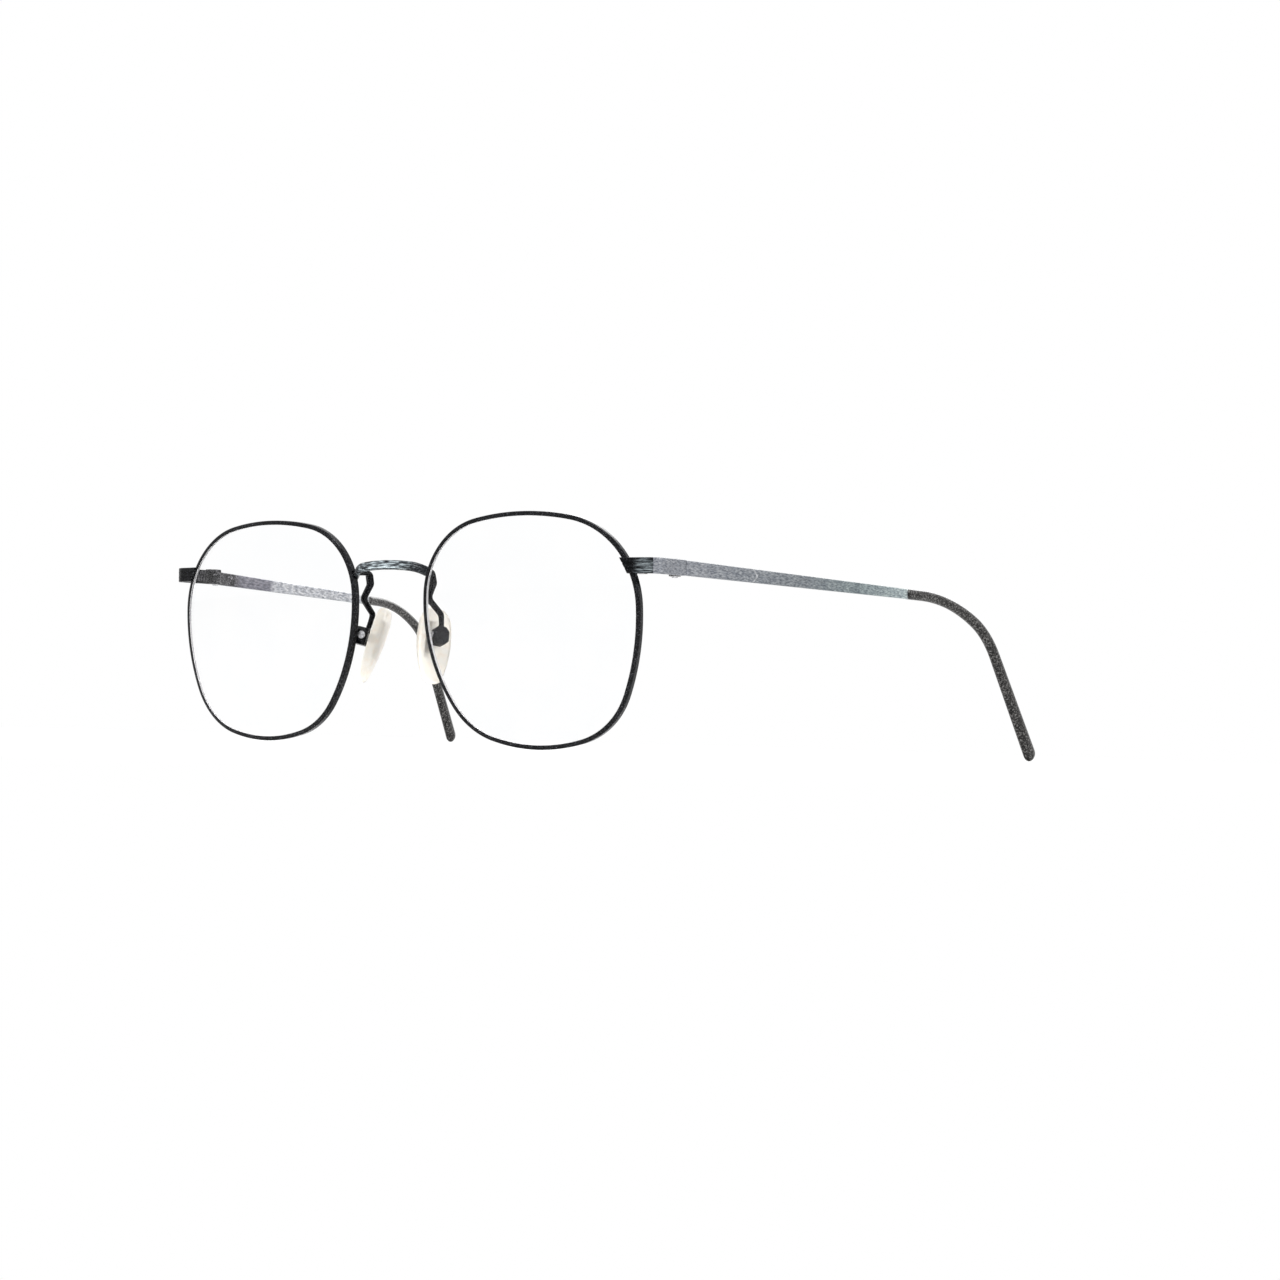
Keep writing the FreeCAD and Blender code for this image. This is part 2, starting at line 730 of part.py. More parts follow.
blade_outer = "(hinge_offset + end_piece_thickness) * cos(splay_angle)"
blade_inner = f"{blade_outer} - blade_thickness"
temple_parts = [
    box("temple_leaf", (f"{blade_inner} - leaf_thickness", blade_inner),
        ("leaf_start", "leaf_length"), ("-leaf_height / 2", "leaf_height / 2")),
    cylinder("middle_barrel", "barrel_radius", f"-{middle}", middle),
    box("middle_web", ("0", blade_inner), ("web_start", "web_length"), (f"-{middle}", middle)),
]
temple_bore = cylinder("temple_bore", "hinge_screw_radius + running_clearance",
                       "-overrun", "overrun")
temple_blank = fuse("temple_hinge_blank", temple_parts)
keep("temple_hinge_left", cut("temple_hinge_left", temple_blank, temple_bore), temple_place)
head_down = Placement(Vector(), Rotation(X_AXIS, 180))
screw(
    "hinge_screw_left", hinge_place * head_down,
    "hinge_screw_radius", "hinge_head_radius", "hinge_head_height",
    f"hinge_head_height - {stack}", f"{stack} + hinge_screw_tip",
)

# Temple: blade, mitre at the joint, chevron groove, core wire inside the tip

temple_body = new_body("temple_blade")
side_view = plane_sketch(temple_body, "blade_side", "YZ_Plane", value(blade_inner))
polygon(side_view, [
    ("0", "-blade_front_height / 2"),
    ("blade_length", "-blade_rear_height / 2"),
    ("blade_length", "blade_rear_height / 2"),
    ("0", "blade_front_height / 2"),
])
feature(temple_body, "Pad", "blade_pad", side_view, Length="blade_thickness")

chevron = plane_sketch(temple_body, "chevron", "YZ_Plane", value(blade_outer))
chevron_top = "blade_front_height"
polygon(chevron, [
    ("chevron_distance", f"-{chevron_top}"),
    ("chevron_distance + chevron_width", f"-{chevron_top}"),
    ("chevron_distance + chevron_width + 2 * chevron_length", "0"),
    ("chevron_distance + chevron_width", chevron_top),
    ("chevron_distance", chevron_top),
    ("chevron_distance + 2 * chevron_length", "0"),
])
feature(temple_body, "Pocket", "chevron_groove", chevron, Length="chevron_depth")
refresh()


def rounded_route(name, points, bend, place=None):
    """A wire of straight runs joined by tangent arcs of one radius."""
    edges = []
    start = points[0]
    for before, corner, after in zip(points, points[1:], points[2:]):
        back = (before - corner).normalize()
        ahead = (after - corner).normalize()
        half = back.getAngle(ahead) / 2
        leave = corner + back * (bend / math.tan(half))
        arrive = corner + ahead * (bend / math.tan(half))
        bisector = (back + ahead).normalize()
        crest = corner + bisector * (bend / math.sin(half) - bend)
        edges.append(Part.LineSegment(start, leave).toShape())
        edges.append(Part.Arc(leave, crest, arrive).toShape())
        start = arrive
    edges.append(Part.LineSegment(start, points[-1]).toShape())
    route = doc.addObject("Part::Feature", name)
    route.Shape = Part.Wire(edges)
    route.Placement = place or Placement()
    return route


def across(point, heading):
    """A placement at a point whose Z axis runs along a heading."""
    return Placement(point, Rotation(Z_AXIS, heading))


def swept_rod(name, route, radius, start_place):
    """A round rod along a route."""
    ring = doc.addObject("Part::Circle", f"{name}_section")
    tie(ring, Radius=radius)
    ring.Placement = start_place
    rod = doc.addObject("Part::Sweep", name)
    rod.Sections = [ring]
    rod.Spine = (route, [f"Edge{i + 1}" for i in range(len(route.Shape.Edges))])
    rod.Solid = True
    rod.Frenet = False
    return rod


class TipLine:
    """Centre line of the temple tip in the plane of the blade, by distance from the blade's end.

    It runs level, then down a gentle bend, then down a tighter one behind the ear, and then
    straight to the base, where the rounded end of the tip touches down.
    """

    def __init__(self, base_drop):
        gentle = math.radians(s.gentle_bend_angle)
        steep = gentle + math.radians(s.ear_bend_angle)
        self.end_radius = s.tip_end_height / 2
        self.runs = [
            ("line", s.tip_straight, 0.0, 0.0),
            ("bend", s.gentle_bend_radius * gentle, s.gentle_bend_radius, 0.0),
            ("bend", s.ear_bend_radius * (steep - gentle), s.ear_bend_radius, gentle),
        ]
        point, _ = self.at(self.length())
        remaining = base_drop - self.end_radius + point.z
        self.runs.append(("line", remaining / math.sin(steep), 0.0, steep))

    def length(self):
        return sum(run[1] for run in self.runs)

    def at(self, distance):
        """Point and heading at a distance along the line, in blade coordinates."""
        point = Vector(value(blade_inner) + s.blade_thickness / 2, s.blade_length, 0)
        for number, (kind, length, radius, slope) in enumerate(self.runs):
            part = min(distance, length)
            if number == len(self.runs) - 1:
                part = distance
            heading = Vector(0, math.cos(slope), -math.sin(slope))
            if kind == "line":
                point = point + heading * part
            else:
                end = slope + part / radius
                point = point + Vector(
                    0,
                    radius * (math.sin(end) - math.sin(slope)),
                    radius * (math.cos(end) - math.cos(slope)),
                )
                heading = Vector(0, math.cos(end), -math.sin(end))
            distance -= part
            if distance <= 0:
                break
        return point, heading


# The rim's lowest point: the front edge of its outer outline
rim_bottom = s.opening_height / 2 + s.rim_face
rim_sag = rim_bottom**2 / (2 * s.lens_curve_radius)
tilt = math.radians(s.pantoscopic_angle)
base_level = -rim_bottom * math.cos(tilt) + rim_sag * math.sin(tilt)
tip_line = TipLine(s.blade_level - base_level)


def tip_route(name, length):
    """The tip's centre line up to a length, as a wire in blade coordinates."""
    edges = []
    travelled = 0.0
    for kind, run, _, _ in tip_line.runs:
        run = min(run, length - travelled)
        start, _ = tip_line.at(travelled)
        halfway, _ = tip_line.at(travelled + run / 2)
        end, _ = tip_line.at(travelled + run)
        line = Part.LineSegment(start, end) if kind == "line" else Part.Arc(start, halfway, end)
        edges.append(line.toShape())
        travelled += run
    route = doc.addObject("Part::Feature", name)
    route.Shape = Part.Wire(edges)
    return route


tip_length = tip_line.length() + tip_line.end_radius
wire_route = tip_route("core_wire_route", tip_length - s.core_wire_stop)
start_place = across(*tip_line.at(0))
core_wire = swept_rod("core_wire", wire_route, "core_wire_radius", start_place)
core_hole = swept_rod("core_hole", wire_route, "core_wire_radius + core_clearance", start_place)

# Joint face of the blade: upright and square to the front, just behind the end piece
mitre_box = box(
    "mitre_box", ("0", "hinge_offset + end_piece_thickness + overrun"), ("-overrun", "joint_gap"),
    ("-blade_front_height", "blade_front_height"),
    Placement(Vector(), Rotation(Z_AXIS, s.splay_angle)),
)
blade_free = boolean("Cut", "blade_mitred", temple_body, mitre_box)
keep("temple_left", fuse("temple_left", [blade_free, core_wire]), temple_place)

# Temple tip: ovals along the centre line, then a rounded end
flare_start = s.tip_straight + s.gentle_bend_radius * math.radians(s.gentle_bend_angle) / 2


def tip_half_sizes(distance):
    """Half height and half thickness of the tip at a distance along it."""
    grown = (distance - flare_start) / (tip_line.length() - flare_start)
    grown = min(max(grown, 0.0), 1.0)
    height = s.tip_start_height + (s.tip_end_height - s.tip_start_height) * grown
    thickness = s.tip_start_thickness + (s.tip_end_thickness - s.tip_start_thickness) * grown
    return height / 2, thickness / 2


def oval(name, distance, shrink=1.0):
    """A section of the tip: an ellipse across the centre line, its long axis upright."""
    ellipse = doc.addObject("Part::Ellipse", name)
    height, thickness = tip_half_sizes(distance)
    ellipse.MajorRadius = height * shrink
    ellipse.MinorRadius = thickness * shrink
    point, heading = tip_line.at(distance)
    upright = X_AXIS.cross(heading)
    ellipse.Placement = Placement(point, Rotation(upright, heading.cross(upright), heading, "ZXY"))
    return ellipse


STEPS_PER_RUN = 3
END_SHARES = (0.0, 0.35, 0.65, 0.85, 0.97)
ovals = []
travelled = 0.0
for _, run, _, _ in tip_line.runs:
    for step in range(STEPS_PER_RUN):
        ovals.append(oval("tip_oval", travelled + run * step / STEPS_PER_RUN))
    travelled += run
for share in END_SHARES:
    distance = travelled + tip_line.end_radius * share
    ovals.append(oval("tip_end_oval", distance, math.sqrt(1 - share**2)))
tip_loft = doc.addObject("Part::Loft", "tip_loft")
tip_loft.Sections = ovals
tip_loft.Solid = True
tip_loft.Ruled = False
keep("temple_tip_left", boolean("Cut", "temple_tip_left", tip_loft, core_hole), temple_place)

# Nose pad assembly: local X across the pad, Y towards the nose, Z up its length

flare = math.tan(math.radians(s.pad_flare))
lean = math.tan(math.radians(s.pad_lean))
pad_up = Vector(-flare, lean, 1).normalize()
splay = math.radians(s.pad_splay)
pad_face = Vector(-math.cos(splay), math.sin(splay), 0)
pad_face = (pad_face - pad_up * pad_face.dot(pad_up)).normalize()
pad_turn = Rotation(pad_face.cross(pad_up), pad_face, pad_up, "ZYX")
pad_place = Placement(Vector(nasal_edge - s.pad_reach, s.pad_back, s.pad_level), pad_turn)
mount_offset = Vector(0, -s.pad_thickness / 2 - s.stem_reach, s.mount_rise)
mount_place = pad_place * Placement(mount_offset, Rotation())

pad_body = new_body("pad_blank")
pad_outline = plane_sketch(pad_body, "pad_outline", "XZ_Plane")
end_centres = (
    ("pad_length / 2 - pad_top_radius", "pad_top_radius"),
    ("pad_bottom_radius - pad_length / 2", "pad_bottom_radius"),
)


def egg(sketch):
    """A tall oval: two round ends joined by two long arcs."""
    (top_z, top_radius), (bottom_z, bottom_radius) = end_centres
    top = Vector(0, value(top_z), 0)
    low = Vector(0, value(bottom_z), 0)
    big = s.pad_side_radius
    near = big - s.pad_top_radius
    far = big - s.pad_bottom_radius
    span = top.y - low.y
    along = (near**2 - far**2 + span**2) / (2 * span)
    aside = math.sqrt(near**2 - along**2)
    left_centre = Vector(-aside, top.y - along, 0)
    right_centre = Vector(aside, top.y - along, 0)
    from_left = angle_of(top - left_centre)
    to_left = angle_of(low - left_centre)
    sketch.addGeometry([
        arc(top, s.pad_top_radius, from_left, math.pi - from_left),
        arc(right_centre, big, math.pi - from_left, math.pi - to_left),
        arc(low, s.pad_bottom_radius, math.pi - to_left, 2 * math.pi + to_left),
        arc(left_centre, big, to_left, from_left),
    ], False)
    for i in range(4):
        sketch.addConstraint(Sketcher.Constraint("Tangent", i, 2, (i + 1) % 4, 1))
    pin(sketch, 0, 3, "0", top_z)
    pin(sketch, 2, 3, "0", bottom_z)
    set_radius(sketch, 0, "pad_top_radius")
    set_radius(sketch, 1, "pad_side_radius")
    set_radius(sketch, 2, "pad_bottom_radius")
    set_radius(sketch, 3, "pad_side_radius")


egg(pad_outline)
pad_pad = feature(pad_body, "Pad", "pad_pad", pad_outline, Length="pad_thickness")
pad_pad.Midplane = True
refresh()


def edges_at(shape, y):
    """Names of the edges that lie flat at one local depth."""
    names = []
    for number, line in enumerate(shape.Edges, start=1):
        if all(abs(vertex.Point.y - y) < CLOSE for vertex in line.Vertexes):
            names.append(f"Edge{number}")
    return names


front_round = feature(pad_body, "Fillet", "front_round", Radius="pad_front_round")
front_round.Base = (pad_pad, edges_at(pad_pad.Shape, s.pad_thickness / 2))
refresh()
back_round = feature(pad_body, "Fillet", "back_round", Radius="pad_back_round")
back_round.Base = (front_round, edges_at(front_round.Shape, -s.pad_thickness / 2))
refresh()

core_plate = box(
    "core_plate", ("-core_plate_width / 2", "core_plate_width / 2"),
    ("-core_plate_thickness / 2", "core_plate_thickness / 2"),
    ("mount_rise - core_plate_length / 2", "mount_rise + core_plate_length / 2"),
)
stem = box(
    "core_stem", ("-tongue_thickness / 2", "tongue_thickness / 2"),
    ("-pad_thickness / 2 - stem_reach", "0"),
    ("mount_rise - tongue_half_height", "mount_rise + tongue_half_height"),
)
upright_to_x = Rotation(Y_AXIS, 90)
axle_place = Placement(mount_offset, upright_to_x)
half_tongue = "tongue_thickness / 2"
tongue_eye = cylinder("tongue_eye", "tongue_half_height",
                      f"-{half_tongue}", half_tongue, place=axle_place)
tongue_hole = cylinder("tongue_hole", "pad_screw_radius + running_clearance",
                       "-overrun", "overrun", place=axle_place)
core_blank = fuse("pad_core_blank", [core_plate, stem, tongue_eye])
keep("pad_core_left", cut("pad_core_left", core_blank, tongue_hole), pad_place)

# The pad is moulded round its core
keep("nose_pad_left", cut("nose_pad_left", pad_body, core_blank), pad_place)

pad_box = new_body("pad_box_body")
box_outline = plane_sketch(pad_box, "box_outline", "XZ_Plane")
half_width = "box_width / 2"
half_height = "box_height / 2"
polygon(box_outline, [
    (f"{half_width} - box_corner", f"-{half_height}"),
    (half_width, f"box_corner - {half_height}"),
    (half_width, f"{half_height} - box_corner"),
    (f"{half_width} - box_corner", half_height),
    (f"box_corner - {half_width}", half_height),
    (f"-{half_width}", f"{half_height} - box_corner"),
    (f"-{half_width}", f"box_corner - {half_height}"),
    (f"box_corner - {half_width}", f"-{half_height}"),
])
box_pad = feature(pad_box, "Pad", "box_pad", box_outline, Length="box_front + box_back")
box_pad.Reversed = True
refresh()
pad_box.Placement = Placement(Vector(0, -s.box_back, 0), Rotation())
pocket_edge = f"{half_tongue} + box_side_clearance"
pocket = box(
    "box_pocket", (f"-({pocket_edge})", pocket_edge),
    ("box_front - pocket_depth", "box_front + overrun"),
    ("-pocket_half_height", "pocket_half_height"),
)
lying = Placement(Vector(), upright_to_x)
box_bore = cylinder("box_bore", "pad_screw_radius + thread_clearance",
                    "-box_width", "box_width", place=lying)
keep("pad_box_left", cut("pad_box_left", pad_box, pocket, box_bore), mount_place)
screw(
    "pad_screw_left", mount_place * lying,
    "pad_screw_radius", "pad_head_radius", "pad_head_height",
    f"-{half_width}", half_width,
)

# Pad arm
box_top = mount_place.multVec(Vector(s.arm_foot_aside, s.arm_foot_forward, s.box_height / 2))
arm_points = [
    Vector(nasal_edge - s.arm_root_reach, s.arm_root_back, s.arm_root_level),
    Vector(nasal_edge - s.arm_brow_reach, s.arm_brow_back, s.arm_brow_level),
    Vector(nasal_edge - s.arm_bulge_reach, s.arm_bulge_back, s.arm_bulge_level),
    Vector(nasal_edge - s.arm_waist_reach, s.arm_waist_back, s.arm_waist_level),
    Vector(nasal_edge - s.arm_knee_reach, s.arm_knee_back, s.arm_knee_level),
    box_top + pad_up * s.arm_drop,
    box_top,
]
arm_route = rounded_route("arm_route", arm_points, s.arm_bend_radius)
arm_rod = swept_rod("arm_rod", arm_route, "arm_wire_radius",
                    across(arm_points[0], arm_points[1] - arm_points[0]))
keep("pad_arm_left", cut("pad_arm_left", arm_rod, bridge_bar, rim_blank))
refresh()

# Stand the frame on its base: shift everything by one vector
worn = [thing.Shape.transformed(place.toMatrix()) for thing, place in nodes.values()]
extents = [shape.optimalBoundingBox(False) for shape in worn]
middle_y = (min(extent.YMin for extent in extents) + max(extent.YMax for extent in extents)) / 2
stand = Placement(Vector(0, -middle_y, -base_level), Rotation())
for thing, place in nodes.values():
    thing.Placement = stand * place
for name, (thing, _) in list(nodes.items()):
    if name.endswith("_left"):
        twin_name = name.replace("_left", "_right")
        keep(twin_name, mirrored(twin_name, thing))
refresh()

os.makedirs("parts", exist_ok=True)
for name, (thing, _) in nodes.items():
    shape = thing.Shape
    if shape.isNull() or not shape.isValid() or len(shape.Solids) != 1:
        raise RuntimeError(f"{name} is not one sound solid")
    shape.exportStep(f"parts/{name}.step")
    print(f"{name:28s} {shape.Volume:9.3f} mm3")

print("hinge axis", (stand * hinge_place).Base)
print("pad axis", (stand * mount_place).Base, (stand * mount_place).Rotation.multVec(X_AXIS))
print("tip length", tip_length)
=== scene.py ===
"""Eyeglass frame: detailed pieces, finishes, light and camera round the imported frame."""
import json
import math

import bmesh
import bpy
from mathutils import Matrix, Vector


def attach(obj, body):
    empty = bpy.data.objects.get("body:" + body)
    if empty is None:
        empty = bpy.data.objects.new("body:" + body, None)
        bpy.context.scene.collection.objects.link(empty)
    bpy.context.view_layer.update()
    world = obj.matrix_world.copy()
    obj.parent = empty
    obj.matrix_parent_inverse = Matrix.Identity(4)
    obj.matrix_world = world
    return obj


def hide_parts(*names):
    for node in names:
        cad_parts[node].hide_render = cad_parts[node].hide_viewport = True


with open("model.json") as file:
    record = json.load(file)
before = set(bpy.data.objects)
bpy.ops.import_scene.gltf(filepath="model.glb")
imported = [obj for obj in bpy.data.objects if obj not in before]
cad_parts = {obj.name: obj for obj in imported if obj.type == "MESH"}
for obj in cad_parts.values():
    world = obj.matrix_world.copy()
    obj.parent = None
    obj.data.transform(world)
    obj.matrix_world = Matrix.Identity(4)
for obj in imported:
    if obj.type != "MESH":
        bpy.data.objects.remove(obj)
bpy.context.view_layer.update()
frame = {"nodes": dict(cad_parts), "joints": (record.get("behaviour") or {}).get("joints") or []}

# Lengths are millimetres as the frame is worn: X to the wearer's left, Y back, Z up,
# from a point midway between the lens centres. STAND shifts them into the row frame.
MM = 0.001
TURN = 2 * math.pi
QUARTER = math.pi / 2
SIDES = ((1, "left"), (-1, "right"))
HINGE_SETBACK = 13.2
HINGE = Vector((60.535, HINGE_SETBACK, 13.03))
hinge_joint = next(j for j in frame["joints"] if j["name"] == "temple_left_fold")
STAND = Vector(hinge_joint["pos_m"]) / MM - HINGE

# Lens opening
OPENING_WIDTH = 48.7
OPENING_HEIGHT = 45.5
LENS_CENTRE_X = 34.185
LENS_CURVE = 200.0
WRAP = 3.13
PANTOSCOPIC = 4.97
SIDE_SHARES = (
    # side, place of its peak, radius: upright sides go by the height, the others by the width
    ("temporal", 0.072, 0.955),
    ("top", -0.0235, 1.17),
    ("nasal", 0.132, 0.793),
    ("bottom", 0.0345, 0.768),
)
CORNER_SHARES = (
    # radius as a share of the height, way from the middle
    (0.394, Vector((1, 1))), (0.329, Vector((-1, 1))),
    (0.362, Vector((-1, -1))), (0.324, Vector((1, -1))),
)

# Rim and lens
RIM_FACE = 0.9
RIM_ROUND = 0.26
RIM_INNER_ROUND = 0.16
RIM_DEPTH = 1.45
GROOVE_REACH = 0.42
GROOVE = (0.425, 1.025)
GROOVE_LIP_ROUND = 0.05
GROOVE_FLOOR_ROUND = 0.08
RIM_SLIT = 0.24
RIM_STATIONS = 300
LENS_DEPTHS = (0.075, 1.375)
LENS_GAP = 0.02
LENS_STATIONS = 180
LENS_RINGS = 14
BEVEL_REACH = 0.36
BEVEL_DEPTHS = (0.6, 0.85)
BEVEL_FOOT = 0.12

# Bridge
BRIDGE_WIDTH = 1.85
BRIDGE_THICKNESS = 1.2
BRIDGE_FACE_ROUND = 0.3
BRIDGE_BACK_ROUND = 0.25
BRIDGE_EDGE_DROP = 0.02
BRIDGE_BURIED = 0.08
BRIDGE_STATIONS = 48
BRIDGE_END_RUN = 4.0
CROWN = Vector((0, -1.1, 13.95))
ARCH_LEAN = math.radians(35.8)
CROWN_RADIUS = 30.0
SHOULDER_RADIUS = 6.0
SHOULDER_ANGLE = math.radians(50)
SHOULDER_INSET = 0.35
SHOULDER_X = LENS_CENTRE_X - OPENING_WIDTH / 2 - SHOULDER_INSET
REED_LEVEL = 0.28
REED_HALF_WIDTH = 0.14
REED_DEPTH = 0.17
REED_LIP_ROUND = 0.05
REED_FLOOR_ROUND = 0.03

# End piece
STRIP_RISE = 2.0
STRIP_HEIGHT = 3.1
STRIP_THICKNESS = 1.05
STRIP_OVERHANG = 4.47
STRIP_FACE_ROUND = 0.2
STRIP_BACK_ROUND = 0.12
SIDE_X = 2.47
SIDE_STEPS = 10
PLATE_SETBACK = 1.12
PLATE_SWEEP = math.radians(9.6)
PLATE_CORNER = Vector((
    SIDE_X, PLATE_SETBACK - HINGE_SETBACK + STRIP_OVERHANG * math.tan(PLATE_SWEEP)))
PLATE_LENGTH = 9.0
PLATE_STEPS = 12
PLATE_BEND = 3.6
BEND_STEPS = 24
FLUTE_LEVEL = 0.5
FLUTE_WIDTH = 0.34
FLUTE_DEPTH = 0.14
FLUTE_LIP = 0.02
FLUTE_FLOOR_ROUND = 0.03
FLUTE_STOP = math.radians(47)
BAND_WIDTH = 0.3
BAND_STEPS = 3
CUTTER_RISE = 0.2
CUTTER_ROUND = 0.01
SIDEWAYS_FACE = -0.3

# Temple
SPLAY = 10.94
BLADE_OUTER = 2.425
BLADE_INNER = 1.425
BLADE_LENGTH = 74.0
BLADE_HEIGHTS = (2.98, 2.17)
BLADE_ROUND = 0.2
BLADE_HIDDEN = 0.6
BLADE_STATIONS = 40
JOINT_GAP = 0.12
INWARD_FACE = -0.5
CHEVRON_Y = 19.34
CHEVRON_APEX = 3.0
CHEVRON_DEPTH = 0.12
CHEVRON_HALF_WIDTHS = (0.05, 0.41)
CHEVRON_REACH = 0.5
CHEVRON_SUNK = 0.02
CHEVRON_EDGE = 0.35
CHEVRON_WALL = 0.1

# Tip
TIP_MOUTH = 0.5
TIP_MOUTH_ROUND = 0.35
TIP_MOUTH_DRAW = 0.3
TIP_MOUTH_STEPS = 6
TIP_STRAIGHT = 6.35
TIP_BENDS = ((50.0, math.radians(25)), (22.0, math.radians(30)))
TIP_LENGTH = 69.144
TIP_END_RADIUS = 1.85
TIP_END_SWEEP = math.radians(88)
TIP_END_STEPS = 11
TIP_HEIGHTS = (2.3, 3.7)
TIP_THICKNESSES = (2.0, 2.4)
TIP_FLARE_START = 17.26
TIP_STATIONS = 60
TIP_POINTS = 36

# Nose pad
PAD_PLACE = Vector((7.565, 5.5, -2.9))
PAD_FLARE = math.radians(7.6)
PAD_LEAN = math.radians(14.6)
PAD_SPLAY = math.radians(28.4)
PAD_LENGTH = 16.6
PAD_TOP_RADIUS = 3.6
PAD_BOTTOM_RADIUS = 2.7
PAD_SIDE_RADIUS = 24.0
PAD_THICKNESS = 2.6
PAD_FRONT_ROUND = 1.1
PAD_BACK_ROUND = 0.6
PAD_CROWN = 0.25
PAD_TAPER = 1.3
PAD_TAPER_START = 0.5
PAD_TAPER_POWER = 1.5
PAD_RINGS = 8
PAD_BACK_STEPS = 8
PAD_FRONT_STEPS = 10
PAD_POINTS = 72

# Pad arm
MOUNT_OFFSET = Vector((0, -3.3, 1.3))
BOX_TOP = Vector((0.55, 0.45, 1.9))
ARM_BEND = 1.1
ARM_DROP = 1.2
ARM_BURIED = 0.3
ARM_STEP = 0.4
ARM_POINTS = [Vector(point) for point in (
    (8.935, 0.35, 12.3), (8.375, 3.5, 12.5), (8.515, 4.26, 9.9), (8.755, 2.0, 6.8),
    (9.185, 6.3, 3.85))]
ARM_SECTIONS = (
    # share of the arm's length, half width, half thickness
    (0.0, 0.96, 0.70), (0.25, 0.97, 0.50), (0.50, 0.85, 0.52), (0.75, 0.74, 0.56),
    (0.88, 0.56, 0.54), (1.0, 0.54, 0.52),
)

# Small fittings
BREAK_ANGLE = math.radians(40)

# Camera, from a fit of the rims, bridge and temples in the photograph
CAMERA_TURN = math.radians(32.0)
CAMERA_RISE = math.radians(-2.578)
CAMERA_ROLL = math.radians(1.683)
CAMERA_DISTANCE = 429.255
CAMERA_ACROSS = 51.835
CAMERA_UP = -1.877
SENSOR_WIDTH = 36.0
IMAGE_SIDE = 1280
FOCAL_PIXELS = 2085.227
NEAR_CLIP = 0.01

# Stage, in metres and watts
FLOOR_SIZE = 8
FLOOR_FADE = (0.16, 0.30)
LAMP_AIM = Vector((0, 0, 0.025))
LAMPS = (
    # name, place, diameter, power
    ("key", Vector((0.10, -0.38, 0.80)), 0.28, 4.8),
    ("side", Vector((0.80, 0.20, 0.45)), 0.4, 1.6),
    ("back", Vector((-0.28, 0.85, 0.46)), 0.6, 2.8),
)
WORLD_COLOUR = (1.0, 0.995, 0.985)
WORLD_STRENGTH = 0.5


def turned(axis, degrees):
    return Matrix.Rotation(math.radians(degrees), 4, axis)


front_place = turned("X", PANTOSCOPIC)
rim_place = front_place @ Matrix.Translation((LENS_CENTRE_X, 0, 0)) @ turned("Z", WRAP)
hinge_place = Matrix.Translation(HINGE)
end_piece_place = hinge_place @ turned("X", STRIP_RISE)
temple_place = hinge_place @ turned("Z", -SPLAY)


# Outlines made of arcs

def heading(angle):
    return Vector((math.cos(angle), math.sin(angle)))


def angle_of(way):
    return math.atan2(way.y, way.x)


class Outline:
    """A closed ring of tangent arcs (centre, radius, start, end), walked counter-clockwise."""

    def __init__(self, arcs):
        self.arcs = [(c, r, start, start + (end - start) % TURN) for c, r, start, end in arcs]
        self.length = sum(r * (end - start) for _, r, start, end in self.arcs)

    def at(self, distance, reach=0.0):
        """The point at a distance along the ring, moved outward by reach."""
        distance %= self.length
        for centre, radius, start, end in self.arcs:
            run = radius * (end - start)
            if distance <= run:
                break
            distance -= run
        return centre + heading(start + distance / radius) * (radius + reach)

    def reach_of(self, point):
        """How far a point near the ring lies outside it."""
        reaches = []
        for centre, radius, start, end in self.arcs:
            way = point - centre
            if (angle_of(way) - start) % TURN <= end - start:
                reaches.append(way.length - radius)
        return min(reaches, key=abs)


def inner_tangent_centre(first, first_radius, second, second_radius, radius, towards):
    """Centre of the arc of a given radius that touches two larger arcs from inside."""
    near = first_radius - radius
    far = second_radius - radius
    span = second - first
    along = (near**2 - far**2 + span.length_squared) / (2 * span.length)
    aside = math.sqrt(near**2 - along**2)
    foot = first + span.normalized() * along
    across = span.normalized().orthogonal()
    return max((foot + across * aside, foot - across * aside), key=lambda p: p.dot(towards))


def opening_outline():
    """The lens opening, seen square on: X towards the temple, Y up."""
    sides = []
    for name, peak_share, radius_share in SIDE_SHARES:
        sign = 1 if name in ("temporal", "top") else -1
        if name in ("temporal", "nasal"):
            radius = radius_share * OPENING_HEIGHT
            across = sign * (OPENING_WIDTH / 2 - radius)
            sides.append((Vector((across, peak_share * OPENING_HEIGHT)), radius))
        else:
            radius = radius_share * OPENING_WIDTH
            up = sign * (OPENING_HEIGHT / 2 - radius)
            sides.append((Vector((peak_share * OPENING_WIDTH, up)), radius))
    turns = []
    for i, (share, towards) in enumerate(CORNER_SHARES):
        first, second = sides[i], sides[(i + 1) % len(sides)]
        radius = share * OPENING_HEIGHT
        centre = inner_tangent_centre(*first, *second, radius, towards)
        turns.append((centre, radius, angle_of(centre - first[0]), angle_of(centre - second[0])))
    arcs = []
    for i, (centre, radius, start, end) in enumerate(turns):
        arcs.append((*sides[i], turns[i - 1][3], start))
        arcs.append((centre, radius, start, end))
    return Outline(arcs)


opening = opening_outline()


def lens_depth(x, z, depth):
    """How far back the lens curve lies at a point of the opening, at a depth behind the front."""
    inner = LENS_CURVE - depth
    return LENS_CURVE - math.sqrt(inner**2 - x**2 - z**2)


def rim_point(distance, reach, depth):
    """A point of the left rim, as worn."""
    x, z = opening.at(distance, reach)
    return rim_place @ Vector((x, lens_depth(x, z, depth), z))


def rim_reach(point):
    """How far a worn point lies outside the left lens opening."""
    local = rim_place.inverted() @ point
    return opening.reach_of(Vector((local.x, local.z)))


